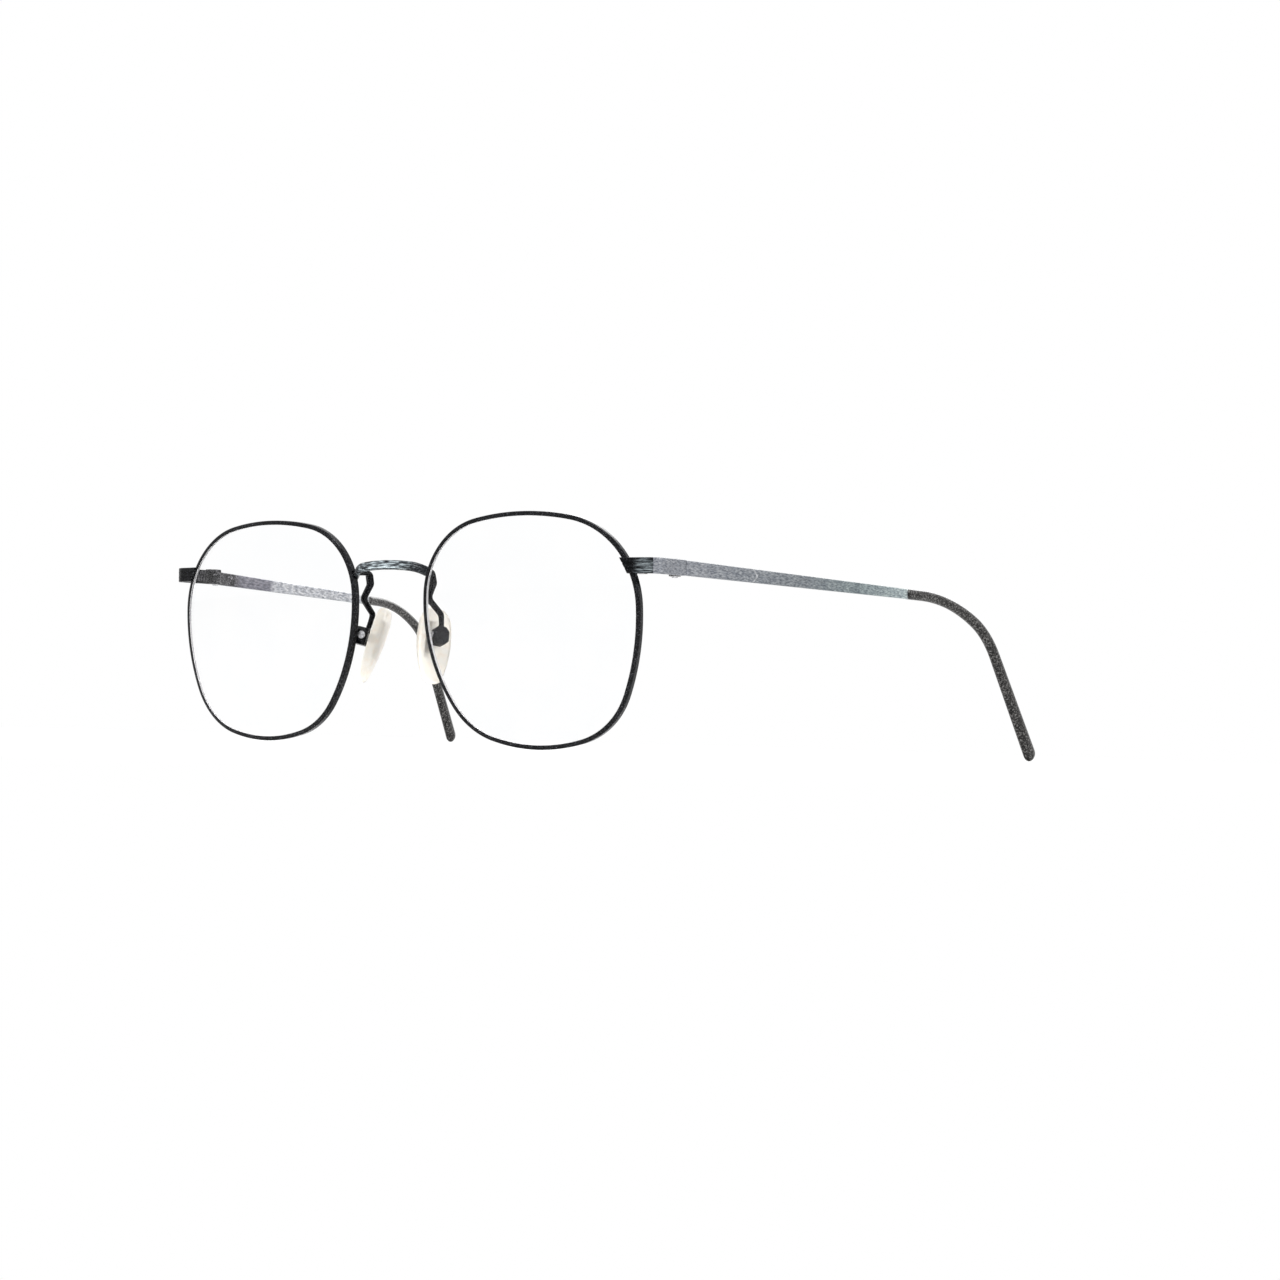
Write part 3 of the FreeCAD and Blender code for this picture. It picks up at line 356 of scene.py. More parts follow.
def rim_skin(point):
    """How far out the rounded outside of the rim wire reaches at a worn point's depth."""
    local = rim_place.inverted() @ point
    depth = local.y - lens_depth(local.x, local.z, 0)
    beside = abs(depth - RIM_DEPTH / 2) - (RIM_DEPTH / 2 - RIM_ROUND)
    beside = min(max(beside, 0), RIM_ROUND)
    return RIM_FACE - RIM_ROUND + math.sqrt(RIM_ROUND**2 - beside**2)


def solve(test, low, high, halvings=40):
    """The value between low and high at which test changes sign, by halving."""
    rising = test(high) > 0
    for _ in range(halvings):
        middle = (low + high) / 2
        if (test(middle) > 0) == rising:
            high = middle
        else:
            low = middle
    return (low + high) / 2


# Meshes

def corner_arc(back, corner, ahead, radius):
    """Centre of the arc that rounds a corner, and its first and last point from there."""
    half = back.angle(ahead) / 2
    centre = corner + (back + ahead).normalized() * (radius / math.sin(half))
    run = radius / math.tan(half)
    return centre, corner + back * run - centre, corner + ahead * run - centre


def rounded(corners, steps=4):
    """A closed profile whose corners (x, y, radius) are rounded with arcs."""
    points = []
    for i, (x, y, radius) in enumerate(corners):
        corner = Vector((x, y))
        back = (Vector(corners[i - 1][:2]) - corner).normalized()
        ahead = (Vector(corners[(i + 1) % len(corners)][:2]) - corner).normalized()
        centre, leave, arrive = corner_arc(back, corner, ahead, radius)
        first = angle_of(leave)
        sweep = (angle_of(arrive) - first + math.pi) % TURN - math.pi
        for step in range(steps + 1):
            points.append(centre + heading(first + sweep * step / steps) * radius)
    return points


def rings_across(lines):
    """The rings that cross lines of equal count."""
    return [list(ring) for ring in zip(*lines)]


def skin(rings):
    """Points and faces of a skin over rings of equal count, capped at its ends."""
    count = len(rings[0])
    total = len(rings) * count
    faces = []
    for a in range(0, total - count, count):
        b = a + count
        for j in range(count):
            k = (j + 1) % count
            faces.append((a + j, a + k, b + k, b + j))
    faces.append(tuple(range(count)))
    faces.append(tuple(range(total - count, total)))
    return [point for ring in rings for point in ring], faces


def mesh_of(name, points, faces, side=1, weld=1e-7):
    """A closed mesh in the row frame; side -1 is its mirror image on the wearer's right."""
    mesh = bpy.data.meshes.new(name)
    flip = Vector((side, 1, 1))
    mesh.from_pydata([(p * flip + STAND) * MM for p in points], [], faces)
    shell = bmesh.new()
    shell.from_mesh(mesh)
    bmesh.ops.remove_doubles(shell, verts=shell.verts, dist=weld)
    bmesh.ops.recalc_face_normals(shell, faces=shell.faces)
    shell.to_mesh(mesh)
    shell.free()
    return mesh


def placed(name, data):
    """A new object in the scene."""
    thing = bpy.data.objects.new(name, data)
    bpy.context.scene.collection.objects.link(thing)
    return thing


def carved(name, mesh, cutters):
    """The mesh with each cutter mesh taken away."""
    blank = placed(f"{name}_blank", mesh)
    tools = [placed(f"{name}_tool", cutter) for cutter in cutters]
    for tool in tools:
        cut = blank.modifiers.new("groove", "BOOLEAN")
        cut.object = tool
        cut.solver = "EXACT"
    graph = bpy.context.evaluated_depsgraph_get()
    result = bpy.data.meshes.new_from_object(blank.evaluated_get(graph))
    for thing in (blank, *tools):
        bpy.data.objects.remove(thing)
    return result


def show(name, mesh, materials, body, node, slot, sharp=35, weighted=False):
    """Puts a mesh in a node's place, smooth except along edges sharper than an angle."""
    mesh.shade_smooth()
    mesh.set_sharp_from_angle(angle=math.radians(sharp))
    for material in materials:
        mesh.materials.append(material)
    thing = placed(name, mesh)
    if weighted:
        normals = thing.modifiers.new("flat_faces", "WEIGHTED_NORMAL")
        normals.keep_sharp = True
    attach(thing, body)
    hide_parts(node)


def show_both(piece, rings, material, body, node, slot, **smoothing):
    """Shows a piece and its mirror image, on the front or each on its own temple or pad."""
    shape = skin(rings)
    for side, name in SIDES:
        mesh = mesh_of(f"{piece}_{name}", *shape, side)
        carrier = body if body == "front" else f"{body}_{name}"
        show(mesh.name, mesh, [material], carrier, f"{node}_{name}", slot, **smoothing)


def choose_materials(mesh, side, place, index_of):
    """Gives each face the material that its centre and normal, seen from a place, call for."""
    to_place = place.inverted()
    flip = Vector((side, 1, 1))
    for face in mesh.polygons:
        local = to_place @ ((face.center / MM - STAND) * flip)
        normal = to_place.to_3x3() @ (face.normal * flip)
        face.material_index = index_of(local, normal)


# Materials

class Tree:
    """The shader nodes of a material or world, and short ways to add to them."""

    def __init__(self, owner, shader, output):
        owner.use_nodes = True
        self.nodes = owner.node_tree.nodes
        self.links = owner.node_tree.links
        self.shader = self.nodes[shader]
        self.output = self.nodes[output]

    def feed(self, socket, value):
        """Links a socket to another one, or sets it to a value."""
        if isinstance(value, bpy.types.NodeSocket):
            self.links.new(value, socket)
        else:
            socket.default_value = value

    def add(self, kind, inputs, **settings):
        """A new node, with its settings and then its inputs, by name or number."""
        node = self.nodes.new(kind)
        for name, value in settings.items():
            setattr(node, name, value)
        for key, value in inputs.items():
            self.feed(node.inputs[key], value)
        return node

    def compute(self, operation, first, second):
        return self.add("ShaderNodeMath", {0: first, 1: second}, operation=operation).outputs[0]

    def set(self, **values):
        """Feeds the shader's inputs, whose names have _ for each space."""
        for name, value in values.items():
            self.feed(self.shader.inputs[name.replace("_", " ")], value)

    def overlay(self, share, shader):
        """Shows another shader in place of the tree's own by a share."""
        inputs = {"Fac": share, 1: self.shader.outputs[0], 2: shader}
        mix = self.add("ShaderNodeMixShader", inputs)
        self.feed(self.output.inputs["Surface"], mix.outputs[0])


class Finish(Tree):
    """A material and short ways to add the nodes of its detail."""

    def __init__(self, name):
        self.material = bpy.data.materials.new(name)
        super().__init__(self.material, "Principled BSDF", "Material Output")

    def place(self, stretch=(1, 1, 1), turn=0.0):
        """Coordinates in metres that ride with the piece, turned about Z and stretched."""
        place = self.add("ShaderNodeTexCoord", {}).outputs["Object"]
        for name, value in (("Rotation", (0, 0, math.radians(turn))), ("Scale", stretch)):
            place = self.add("ShaderNodeMapping", {name: value, "Vector": place}).outputs[0]
        return place

    def noise(self, place, size, detail=3.0):
        """Noise whose blotches are about size millimetres across."""
        inputs = {"Scale": 1 / (size * MM), "Detail": detail, "Vector": place}
        return self.add("ShaderNodeTexNoise", inputs).outputs["Fac"]

    def ramp(self, value, *stops):
        """Colours at positions along a value."""
        ramp = self.add("ShaderNodeValToRGB", {"Fac": value})
        elements = ramp.color_ramp.elements
        while len(elements) < len(stops):
            elements.new(0.5)
        for element, (position, colour) in zip(elements, stops):
            element.position = position
            element.color = (*colour, 1)
        return ramp.outputs["Color"]

    def span(self, value, low, high):
        """A value between 0 and 1 stretched to run from low to high."""
        inputs = {"To Min": low, "To Max": high, "Value": value}
        return self.add("ShaderNodeMapRange", inputs).outputs["Result"]

    def rise(self, value, start, end):
        """A value that rises from 0 where another is at start to 1 where it is at end."""
        inputs = {"From Min": start, "From Max": end, "Value": value}
        return self.add("ShaderNodeMapRange", inputs).outputs["Result"]

    def rearward(self, place):
        """A value that rises from 0 at the joint to 1 at the blade's rear end."""
        back = self.add("ShaderNodeSeparateXYZ", {0: place}).outputs["Y"]
        joint = HINGE.y + STAND.y
        return self.rise(back, joint * MM, (joint + BLADE_LENGTH) * MM)

    def sideways(self, place, stops):
        """Shares of 0 to 1 that change, in millimetres, from the wearer's right to the left."""
        first, last = stops[0][0], stops[-1][0]
        across = self.add("ShaderNodeSeparateXYZ", {0: place}).outputs["X"]
        return self.ramp(self.rise(across, first * MM, last * MM),
                         *[((at - first) / (last - first), (share,) * 3) for at, share in stops])

    def blend(self, kind, first, second, share=1.0):
        """Two colours blended, fully or by a share."""
        inputs = {"Factor": share, "A": first, "B": second}
        return self.add("ShaderNodeMix", inputs, data_type="RGBA", blend_type=kind).outputs["Result"]

    def bump(self, height, depth, strength):
        """Relief of a depth in millimetres."""
        inputs = {"Distance": depth * MM, "Strength": strength, "Height": height}
        self.set(Normal=self.add("ShaderNodeBump", inputs).outputs["Normal"])

    def fade_to_white(self, place, near, far):
        """Seen directly or through a lens, turns white between two distances from the origin."""
        distance = self.add("ShaderNodeVectorMath", {0: place}, operation="LENGTH").outputs["Value"]
        path = self.add("ShaderNodeLightPath", {}).outputs
        direct = self.compute("MAXIMUM", path["Is Camera Ray"], path["Is Transmission Ray"])
        share = self.compute("MULTIPLY", self.rise(distance, near, far), direct)
        self.overlay(share, self.add("ShaderNodeEmission", {}).outputs[0])

    def clear_shadow(self, tint):
        """Lets light through to what lies behind, as clear plastic does."""
        clear = self.add("ShaderNodeBsdfTransparent", {"Color": (*tint, 1)}).outputs["BSDF"]
        self.overlay(self.add("ShaderNodeLightPath", {}).outputs["Is Shadow Ray"], clear)


# Colour stops: a place along a noise or a share of a length, and the colour there
LACQUER_SPECKS = (
    (0.46, (0.001, 0.0012, 0.002)), (0.56, (0.016, 0.017, 0.022)), (0.70, (0.19, 0.195, 0.21)),
)
LACQUER_CLOUDS = ((0.3, (0.4, 0.4, 0.44)), (0.7, (1, 1, 1)))
# Painted highlight: bright teal-white streaks, and the share of metal in them
PAINTED_HIGHLIGHT_STREAKS = (
    (0.40, (0.012, 0.014, 0.018)), (0.52, (0.20, 0.23, 0.25)), (0.62, (0.72, 0.82, 0.86)),
)
PAINTED_HIGHLIGHT_SHARE = ((0.40, (0, 0, 0)), (0.52, (1, 1, 1)))
BRUSH_STREAKS = ((0.38, (0.48, 0.49, 0.52)), (0.62, (1.1, 1.1, 1.1)))
BRUSH_CLOUDS = ((0.38, (0.70, 0.72, 0.76)), (0.62, (1, 1, 1)))
OUTER_TONES = (
    (0.0, (0.37, 0.38, 0.40)), (0.5, (0.30, 0.32, 0.33)), (0.75, (0.31, 0.36, 0.36)),
    (0.975, (0.53, 0.60, 0.59)), (0.985, (0.80, 0.84, 0.83)),
)
INNER_TONES = (
    (0.0, (0.27, 0.26, 0.29)), (0.33, (0.31, 0.30, 0.34)), (0.37, (0.72, 0.72, 0.73)),
)
DARK_SPECKS = (
    (0.46, (0.004, 0.004, 0.005)), (0.56, (0.05, 0.048, 0.055)), (0.68, (0.46, 0.45, 0.48)),
)
DARK_RUN = ((0.1275, (1, 1, 1)), (0.17, (0, 0, 0)))
TIP_MOTTLE = (
    (0.40, (0.004, 0.0038, 0.0038)), (0.53, (0.042, 0.040, 0.039)), (0.66, (0.21, 0.205, 0.20)),
)
PAD_TINTS = ((0.28, (0.96, 0.86, 0.77)), (0.42, (1, 0.955, 0.87)), (0.6, (1, 0.98, 0.935)))
FLOOR_TINTS = ((0.3, (0.93, 0.93, 0.93)), (0.7, (0.95, 0.95, 0.95)))

# Where a highlight is painted on the lacquer as bright metal streaks: millimetres from the wearer's
# right to the left, share painted
PAINTED_HIGHLIGHT_SPANS = (
    (-66.0, 0.0), (-9.0, 0.0), (-7.0, 0.5), (-4.0, 1.0), (3.5, 1.0), (7.0, 0.1),
    (58.4, 0.0), (60.0, 0.5), (66.0, 0.5),
)


def speckled(finish, place, level):
    """Near black with fine grey specks, in soft clouds, darkened to a level."""
    specks = finish.ramp(finish.noise(place, size=0.22), *LACQUER_SPECKS)
    clouds = [(at, [level * c for c in colour]) for at, colour in LACQUER_CLOUDS]
    return finish.blend("MULTIPLY", specks, finish.ramp(finish.noise(place, size=4.0), *clouds))


def lacquer(name, level, smooth, rough, gloss):
    """Blue-black lacquer with a fine grey speckle."""
    finish = Finish(name)
    place = finish.place()
    finish.set(
        Base_Color=speckled(finish, place, level),
        Roughness=finish.span(finish.noise(place, size=0.5), smooth, rough),
        Specular_IOR_Level=gloss,
    )
    finish.bump(finish.noise(place, size=0.14, detail=2.0), depth=0.014, strength=0.5)
    return finish.material


def painted_highlight_lacquer(name, stretch, level):
    """The same lacquer with a painted highlight of bright metal streaks at the bridge's crown and at
    a strip's bend.
    """
    finish = Finish(name)
    place = finish.place()
    streaks = finish.noise(finish.place(stretch=stretch), size=0.32, detail=5.0)
    painted_streaks = finish.ramp(streaks, *PAINTED_HIGHLIGHT_STREAKS)
    # Painted highlight: the bright streaks are mixed in over the spans where it is painted
    where = finish.sideways(place, PAINTED_HIGHLIGHT_SPANS)
    finish.set(
        Base_Color=finish.blend("MIX", speckled(finish, place, level), painted_streaks, where),
        Metallic=finish.blend("MULTIPLY", where, finish.ramp(streaks, *PAINTED_HIGHLIGHT_SHARE)),
        Roughness=finish.span(finish.noise(place, size=0.5), low=0.16, high=0.36),
        Specular_IOR_Level=0.1,
    )
    finish.bump(streaks, depth=0.02, strength=0.5)
    return finish.material


def brushed(name, turn, tones, grain, dark_run=None):
    """Brushed steel whose tone changes to the rear, with dark specks over a run if asked."""
    finish = Finish(name)
    place = finish.place()
    fine = finish.noise(finish.place(stretch=(1, 0.22, 1), turn=turn), grain, detail=6.0)
    broad = finish.noise(finish.place(stretch=(1, 0.5, 1), turn=turn), size=0.5, detail=5.0)
    rearward = finish.rearward(place)
    tone = finish.ramp(rearward, *tones)
    for detail in (finish.ramp(fine, *BRUSH_STREAKS), finish.ramp(broad, *BRUSH_CLOUDS)):
        tone = finish.blend("MULTIPLY", tone, detail)
    if dark_run:
        specks = finish.ramp(finish.noise(place, size=0.45), *DARK_SPECKS)
        tone = finish.blend("MIX", tone, specks, finish.ramp(rearward, *dark_run))
    finish.set(
        Base_Color=tone,
        Roughness=finish.span(finish.noise(place, size=0.9, detail=4.0), low=0.34, high=0.55),
        Metallic=0.85,
    )
    finish.bump(fine, depth=0.02, strength=0.5)
    return finish.material


def mottled(name, tints, roughness, relief, shadow=None, **settings):
    """A finish whose colour, roughness and relief each follow a noise of a size and detail.

    After those two come the colour stops, the least and most roughness, the depth and strength.
    """
    finish = Finish(name)
    place = finish.place()
    finish.set(
        Base_Color=finish.ramp(finish.noise(place, *tints[:2]), *tints[2:]),
        Roughness=finish.span(finish.noise(place, *roughness[:2]), *roughness[2:]),
        **settings,
    )
    finish.bump(finish.noise(place, *relief[:2]), *relief[2:])
    if shadow:
        finish.clear_shadow(shadow)
    return finish.material


def small_metal(name, dark, light, least, most):
    """Plain metal of the small fittings, with faint clouds and fine marks."""
    return mottled(name, tints=(0.5, 4.0, (0.46, dark), (0.60, light)), Metallic=0.95,
                   roughness=(0.25, 3.0, least, most), relief=(0.25, 3.0, 0.01, 0.4))


front_finish = lacquer("front_lacquer", level=0.65, smooth=0.10, rough=0.26, gloss=0.15)
arm_finish = lacquer("arm_lacquer", level=0.5, smooth=0.08, rough=0.20, gloss=0.12)
# The bridge's crown and the left strip's bend carry a painted highlight
bridge_finish = painted_highlight_lacquer("bridge_lacquer", stretch=(0.15, 1, 1), level=1.0)
strip_finish = painted_highlight_lacquer("strip_lacquer", stretch=(0.12, 0.12, 1), level=0.35)
side_finish = brushed("side_metal", 0, OUTER_TONES, grain=0.2)
plastic_finish = mottled(
    "tip_plastic", tints=(0.4, 4.0, *TIP_MOTTLE), roughness=(0.8, 5.0, 0.20, 0.36),
    relief=(0.4, 4.0, 0.02, 0.4), Specular_IOR_Level=0.2)
lens_finish = mottled(
    "lens_clear", tints=(9.0, 3.0, (0.3, (0.985, 0.99, 0.995)), (0.7, (1, 1, 1))),
    roughness=(6.0, 3.0, 0.0, 0.012), relief=(8.0, 3.0, 0.004, 0.1), shadow=(0.97, 0.97, 0.98),
    Transmission_Weight=1.0, IOR=1.5, Specular_Tint=(0.12, 0.12, 0.13, 1))
lens_edge_finish = mottled(
    "lens_edge", tints=(1.0, 3.0, (0.3, (0.86, 0.84, 0.86)), (0.7, (0.95, 0.93, 0.95))),
    roughness=(0.3, 3.0, 0.4, 0.6), relief=(0.1, 3.0, 0.01, 0.4),
    Transmission_Weight=0.6, IOR=1.5)
pad_finish = mottled(
    "pad_soft", tints=(1.3, 4.0, *PAD_TINTS), roughness=(0.9, 3.0, 0.30, 0.45),
    relief=(1.5, 3.0, 0.02, 0.2), shadow=(0.93, 0.91, 0.87),
    Transmission_Weight=0.72, IOR=1.3, Specular_Tint=(0.4, 0.4, 0.4, 1))
fitting_finish = small_metal(
    "fitting_metal", (0.006, 0.006, 0.007), (0.13, 0.128, 0.135), least=0.238, most=0.442)
screw_finish = small_metal(
    "screw_steel", (0.42, 0.42, 0.43), (0.62, 0.62, 0.64), least=0.196, most=0.364)
# Painted highlight: a paler metal on the chevron groove's faces, for its light line
chevron_highlight_finish = small_metal(
    "chevron_highlight_metal", (0.34, 0.35, 0.36), (0.60, 0.61, 0.63), least=0.245, most=0.455)
core_finish = small_metal(
    "core_metal", (0.50, 0.49, 0.48), (0.66, 0.65, 0.63), least=0.21, most=0.39)


# Rims

def rim_profile():
    """Section of the rim wire: reach outward and depth back, with the groove for the lens."""
    front, back = GROOVE
    return rounded([
        (RIM_FACE, 0, RIM_ROUND), (RIM_FACE, RIM_DEPTH, RIM_ROUND),
        (0, RIM_DEPTH, RIM_INNER_ROUND), (0, back, GROOVE_LIP_ROUND),
        (GROOVE_REACH, back, GROOVE_FLOOR_ROUND), (GROOVE_REACH, front, GROOVE_FLOOR_ROUND),
        (0, front, GROOVE_LIP_ROUND), (0, 0, RIM_INNER_ROUND),
    ])


def rim_rings():
    """Sections round the rim, from the top of the closing slit round to its bottom."""
    quarter = opening.length / 4
    to_slit = end_piece_place.inverted()
    lines = []
    for reach, depth in rim_profile():
        def above(distance, level):
            return (to_slit @ rim_point(distance, reach, depth)).z - level
        start = solve(lambda d: above(d, RIM_SLIT / 2), -quarter / 4, quarter)
        end = solve(lambda d: above(d, -RIM_SLIT / 2), -quarter / 4, quarter) + opening.length
        lines.append([rim_point(start + (end - start) * i / RIM_STATIONS, reach, depth)
                      for i in range(RIM_STATIONS + 1)])
    return rings_across(lines)


def make_rims():
    show_both("rim_wire", rim_rings(), front_finish, "front", "rim", "front_lacquer",
              weighted=True)


# Lenses

def lens_ring(share, reach, depth):
    ring = []
    for i in range(LENS_STATIONS):
        x, z = opening.at(opening.length * i / LENS_STATIONS, reach) * share
        ring.append(rim_place @ Vector((x, lens_depth(x, z, depth), z)))
    return ring


def lens_rings():
    """Rings from the middle of the front, over the bevelled edge, to the middle of the back."""
    front, back = LENS_DEPTHS
    shares = [ring / LENS_RINGS for ring in range(1, LENS_RINGS)]
    rings = [lens_ring(share, -LENS_GAP, front) for share in shares]
    edge = [
        (-LENS_GAP, front), (-LENS_GAP, BEVEL_DEPTHS[0] - BEVEL_FOOT),
        (BEVEL_REACH, BEVEL_DEPTHS[0]), (BEVEL_REACH, BEVEL_DEPTHS[1]),
        (-LENS_GAP, BEVEL_DEPTHS[1] + BEVEL_FOOT), (-LENS_GAP, back),
    ]
    rings += [lens_ring(1, reach, depth) for reach, depth in edge]
    rings += [lens_ring(share, -LENS_GAP, back) for share in reversed(shares)]
    return rings, len(edge)


def make_lenses():
    rings, edge_rings = lens_rings()
    shape = skin(rings)
    edge_start = (LENS_RINGS - 1) * LENS_STATIONS
    edge_end = edge_start + edge_rings * LENS_STATIONS
    for side, name in SIDES:
        piece = f"clear_lens_{name}"
        mesh = mesh_of(piece, *shape, side)
        show(piece, mesh, [lens_finish, lens_edge_finish],
             "front", f"lens_{name}", "lens_clear", sharp=25)
        for face in mesh.polygons:
            ground = all(edge_start <= vertex < edge_end for vertex in face.vertices)
            face.material_index = 1 if ground else 0


# Bridge

arch_up = Vector((0, -math.cos(ARCH_LEAN), math.sin(ARCH_LEAN)))
arch_side = Vector((1, 0, 0)).cross(arch_up)
middles_apart = CROWN_RADIUS - SHOULDER_RADIUS
crown_turn = math.asin(
    (SHOULDER_X - SHOULDER_RADIUS * math.sin(SHOULDER_ANGLE)) / middles_apart)
crown_run = CROWN_RADIUS * crown_turn
shoulder_run = SHOULDER_RADIUS * (SHOULDER_ANGLE - crown_turn)


def bridge_place(distance):
    """Point and outward heading of the bridge's upper face, from the crown to one side."""
    middle = Vector((0, -CROWN_RADIUS))
    if distance < crown_run:
        out = heading(QUARTER - distance / CROWN_RADIUS)
        return middle + out * CROWN_RADIUS, out
    middle += heading(QUARTER - crown_turn) * middles_apart
    turn = min(distance - crown_run, shoulder_run) / SHOULDER_RADIUS
    out = heading(QUARTER - crown_turn - turn)
    run = max(distance - crown_run - shoulder_run, 0)
    ahead = Vector((out.y, -out.x))
    return middle + out * SHOULDER_RADIUS + ahead * run, out


def bridge_point(distance, rise, aside):
    """A worn point of the bridge, for a section point (rise above the upper face, aside)."""
    side = math.copysign(1, distance)
    point, out = bridge_place(abs(distance))
    x, y = point + out * rise
    local = CROWN + Vector((side * x, 0, 0)) + arch_up * y + arch_side * aside
    return front_place @ local


def bridge_profile():
    """Section of the bar, with two reeds cut along its upper face."""
    edge = BRIDGE_WIDTH / 2
    corners = [(-BRIDGE_EDGE_DROP, -edge, BRIDGE_FACE_ROUND)]
    for level in (-REED_LEVEL, REED_LEVEL):
        corners += [
            (0, level - REED_HALF_WIDTH, REED_LIP_ROUND),
            (-REED_DEPTH, level, REED_FLOOR_ROUND),
            (0, level + REED_HALF_WIDTH, REED_LIP_ROUND),
        ]
    corners += [
        (-BRIDGE_EDGE_DROP, edge, BRIDGE_FACE_ROUND),
        (-BRIDGE_THICKNESS, edge, BRIDGE_BACK_ROUND),
        (-BRIDGE_THICKNESS, -edge, BRIDGE_BACK_ROUND),
    ]
    return rounded(corners, steps=3)


def make_bridge():
    """The reeded bar, each line of it run on until it is well inside the rim wire."""
    def outside_rim(point):
        return rim_reach(point) - rim_skin(point) + BRIDGE_BURIED

    lines = []
    for rise, aside in bridge_profile():
        end = solve(lambda d: outside_rim(bridge_point(d, rise, aside)),
                    crown_run, crown_run + shoulder_run + BRIDGE_END_RUN)
        lines.append([bridge_point(end * i / BRIDGE_STATIONS, rise, aside)
                      for i in range(-BRIDGE_STATIONS, BRIDGE_STATIONS + 1)])
    mesh = mesh_of("reeded_bridge", *skin(rings_across(lines)))
    show("reeded_bridge", mesh, [bridge_finish], "front", "bridge", "front_lacquer",
         weighted=True)


# End pieces

plate_inward = heading(PLATE_SWEEP + QUARTER)
bend_reach = PLATE_BEND * math.tan((QUARTER - PLATE_SWEEP) / 2)
bend_start = PLATE_CORNER - heading(PLATE_SWEEP) * bend_reach
bend_middle = bend_start + plate_inward * PLATE_BEND


def bend_station(angle):
    """The strip's outer face part way round the bend, at an angle from the side's outward way."""
    out = heading(-angle)
    return bend_middle + out * PLATE_BEND, -out


def front_route(stop):
    """Outer face of the strip in plan (point, inward heading), round the bend to an angle."""
    start = PLATE_CORNER - heading(PLATE_SWEEP) * PLATE_LENGTH
    first = QUARTER - PLATE_SWEEP
    route = [(start.lerp(bend_start, i / PLATE_STEPS), plate_inward) for i in range(PLATE_STEPS)]
    route += [bend_station(first + (stop - first) * i / BEND_STEPS) for i in range(BEND_STEPS + 1)]
    return route


def plate_route():
    """The whole outer face, from the strip's inner end to the hinge."""
    side_start = Vector((SIDE_X, bend_middle.y))
    side_end = Vector((SIDE_X, 0))
    inward = Vector((-1, 0))
    side = [(side_start.lerp(side_end, i / SIDE_STEPS), inward)
            for i in range(1, SIDE_STEPS + 1)]
    return front_route(0) + side


def brushed_side(local, normal):
    """Material of a face of the strip: 1 if it lies behind the groove across it, facing out."""
    angle = max(-angle_of(local.xy - bend_middle), 0)
    behind = angle < FLUTE_STOP - BAND_WIDTH / PLATE_BEND
    return 1 if behind and normal.xy.dot(heading(-angle)) > SIDEWAYS_FACE else 0


def strip_point(station, depth, level):
    point, inward = station
    x, y = point + inward * depth
    return end_piece_place @ Vector((x, y, level))


def end_piece_rings():
    """The strip's sections, its inner end cut to the edge of the lens opening."""
    high = STRIP_HEIGHT / 2
    thick = STRIP_THICKNESS
    profile = rounded([
        (0, -high, STRIP_FACE_ROUND), (0, high, STRIP_FACE_ROUND),
        (thick, high, STRIP_BACK_ROUND), (thick, -high, STRIP_BACK_ROUND),
    ])
    route = plate_route()
    lines = []
    for depth, level in profile:
        start = strip_point(route[0], depth, level)
        end = strip_point(route[PLATE_STEPS], depth, level)
        share = solve(lambda f: rim_reach(start.lerp(end, f)) - LENS_GAP, 0, 1)
        trimmed = start.lerp(end, share)
        line = [trimmed.lerp(end, i / PLATE_STEPS) for i in range(PLATE_STEPS)]
        line += [strip_point(station, depth, level) for station in route[PLATE_STEPS:]]
        lines.append(line)
    return rings_across(lines)


def strip_cutter(name, profile, steps, route, side):
    """A cutter with a rounded profile that follows the strip's outer face."""
    section = rounded(profile, steps)
    rings = [[strip_point(station, *point) for point in section] for station in route]
    return mesh_of(name, *skin(rings), side)


def flute_profile(level):
    """Section of a groove along the strip, at a level."""
    half = FLUTE_WIDTH / 2
    low, high = level - half, level + half
    return [
        (-CUTTER_RISE, low, CUTTER_ROUND), (FLUTE_LIP, low, CUTTER_ROUND),
        (FLUTE_DEPTH, level - half / 2, FLUTE_FLOOR_ROUND),
        (FLUTE_DEPTH, level + half / 2, FLUTE_FLOOR_ROUND),
        (FLUTE_LIP, high, CUTTER_ROUND), (-CUTTER_RISE, high, CUTTER_ROUND),
    ]


def make_end_pieces():
    shape = skin(end_piece_rings())
    flute_route = front_route(FLUTE_STOP)
    band_turn = BAND_WIDTH / PLATE_BEND
    band_route = [bend_station(FLUTE_STOP - i * band_turn / BAND_STEPS)
                  for i in range(BAND_STEPS + 1)]
    high = STRIP_HEIGHT
    band_profile = [
        (-CUTTER_RISE, -high, CUTTER_ROUND), (FLUTE_DEPTH, -high, CUTTER_ROUND),
        (FLUTE_DEPTH, high, CUTTER_ROUND), (-CUTTER_RISE, high, CUTTER_ROUND),
    ]
    for side, name in SIDES:
        piece = f"fluted_end_piece_{name}"
        cutters = [strip_cutter(f"flute_{name}", flute_profile(level), 2, flute_route, side)
                   for level in (-FLUTE_LEVEL, FLUTE_LEVEL)]
        cutters.append(strip_cutter(f"band_{name}", band_profile, 1, band_route, side))
        mesh = carved(piece, mesh_of(piece, *shape, side), cutters)
        show(piece, mesh, [strip_finish, side_finish],
             "front", f"end_piece_{name}", "front_lacquer", weighted=True)
        choose_materials(mesh, side, end_piece_place, brushed_side)


# Temples

def blade_half_height(y):
    front, rear = BLADE_HEIGHTS
    return (front + (rear - front) * y / BLADE_LENGTH) / 2


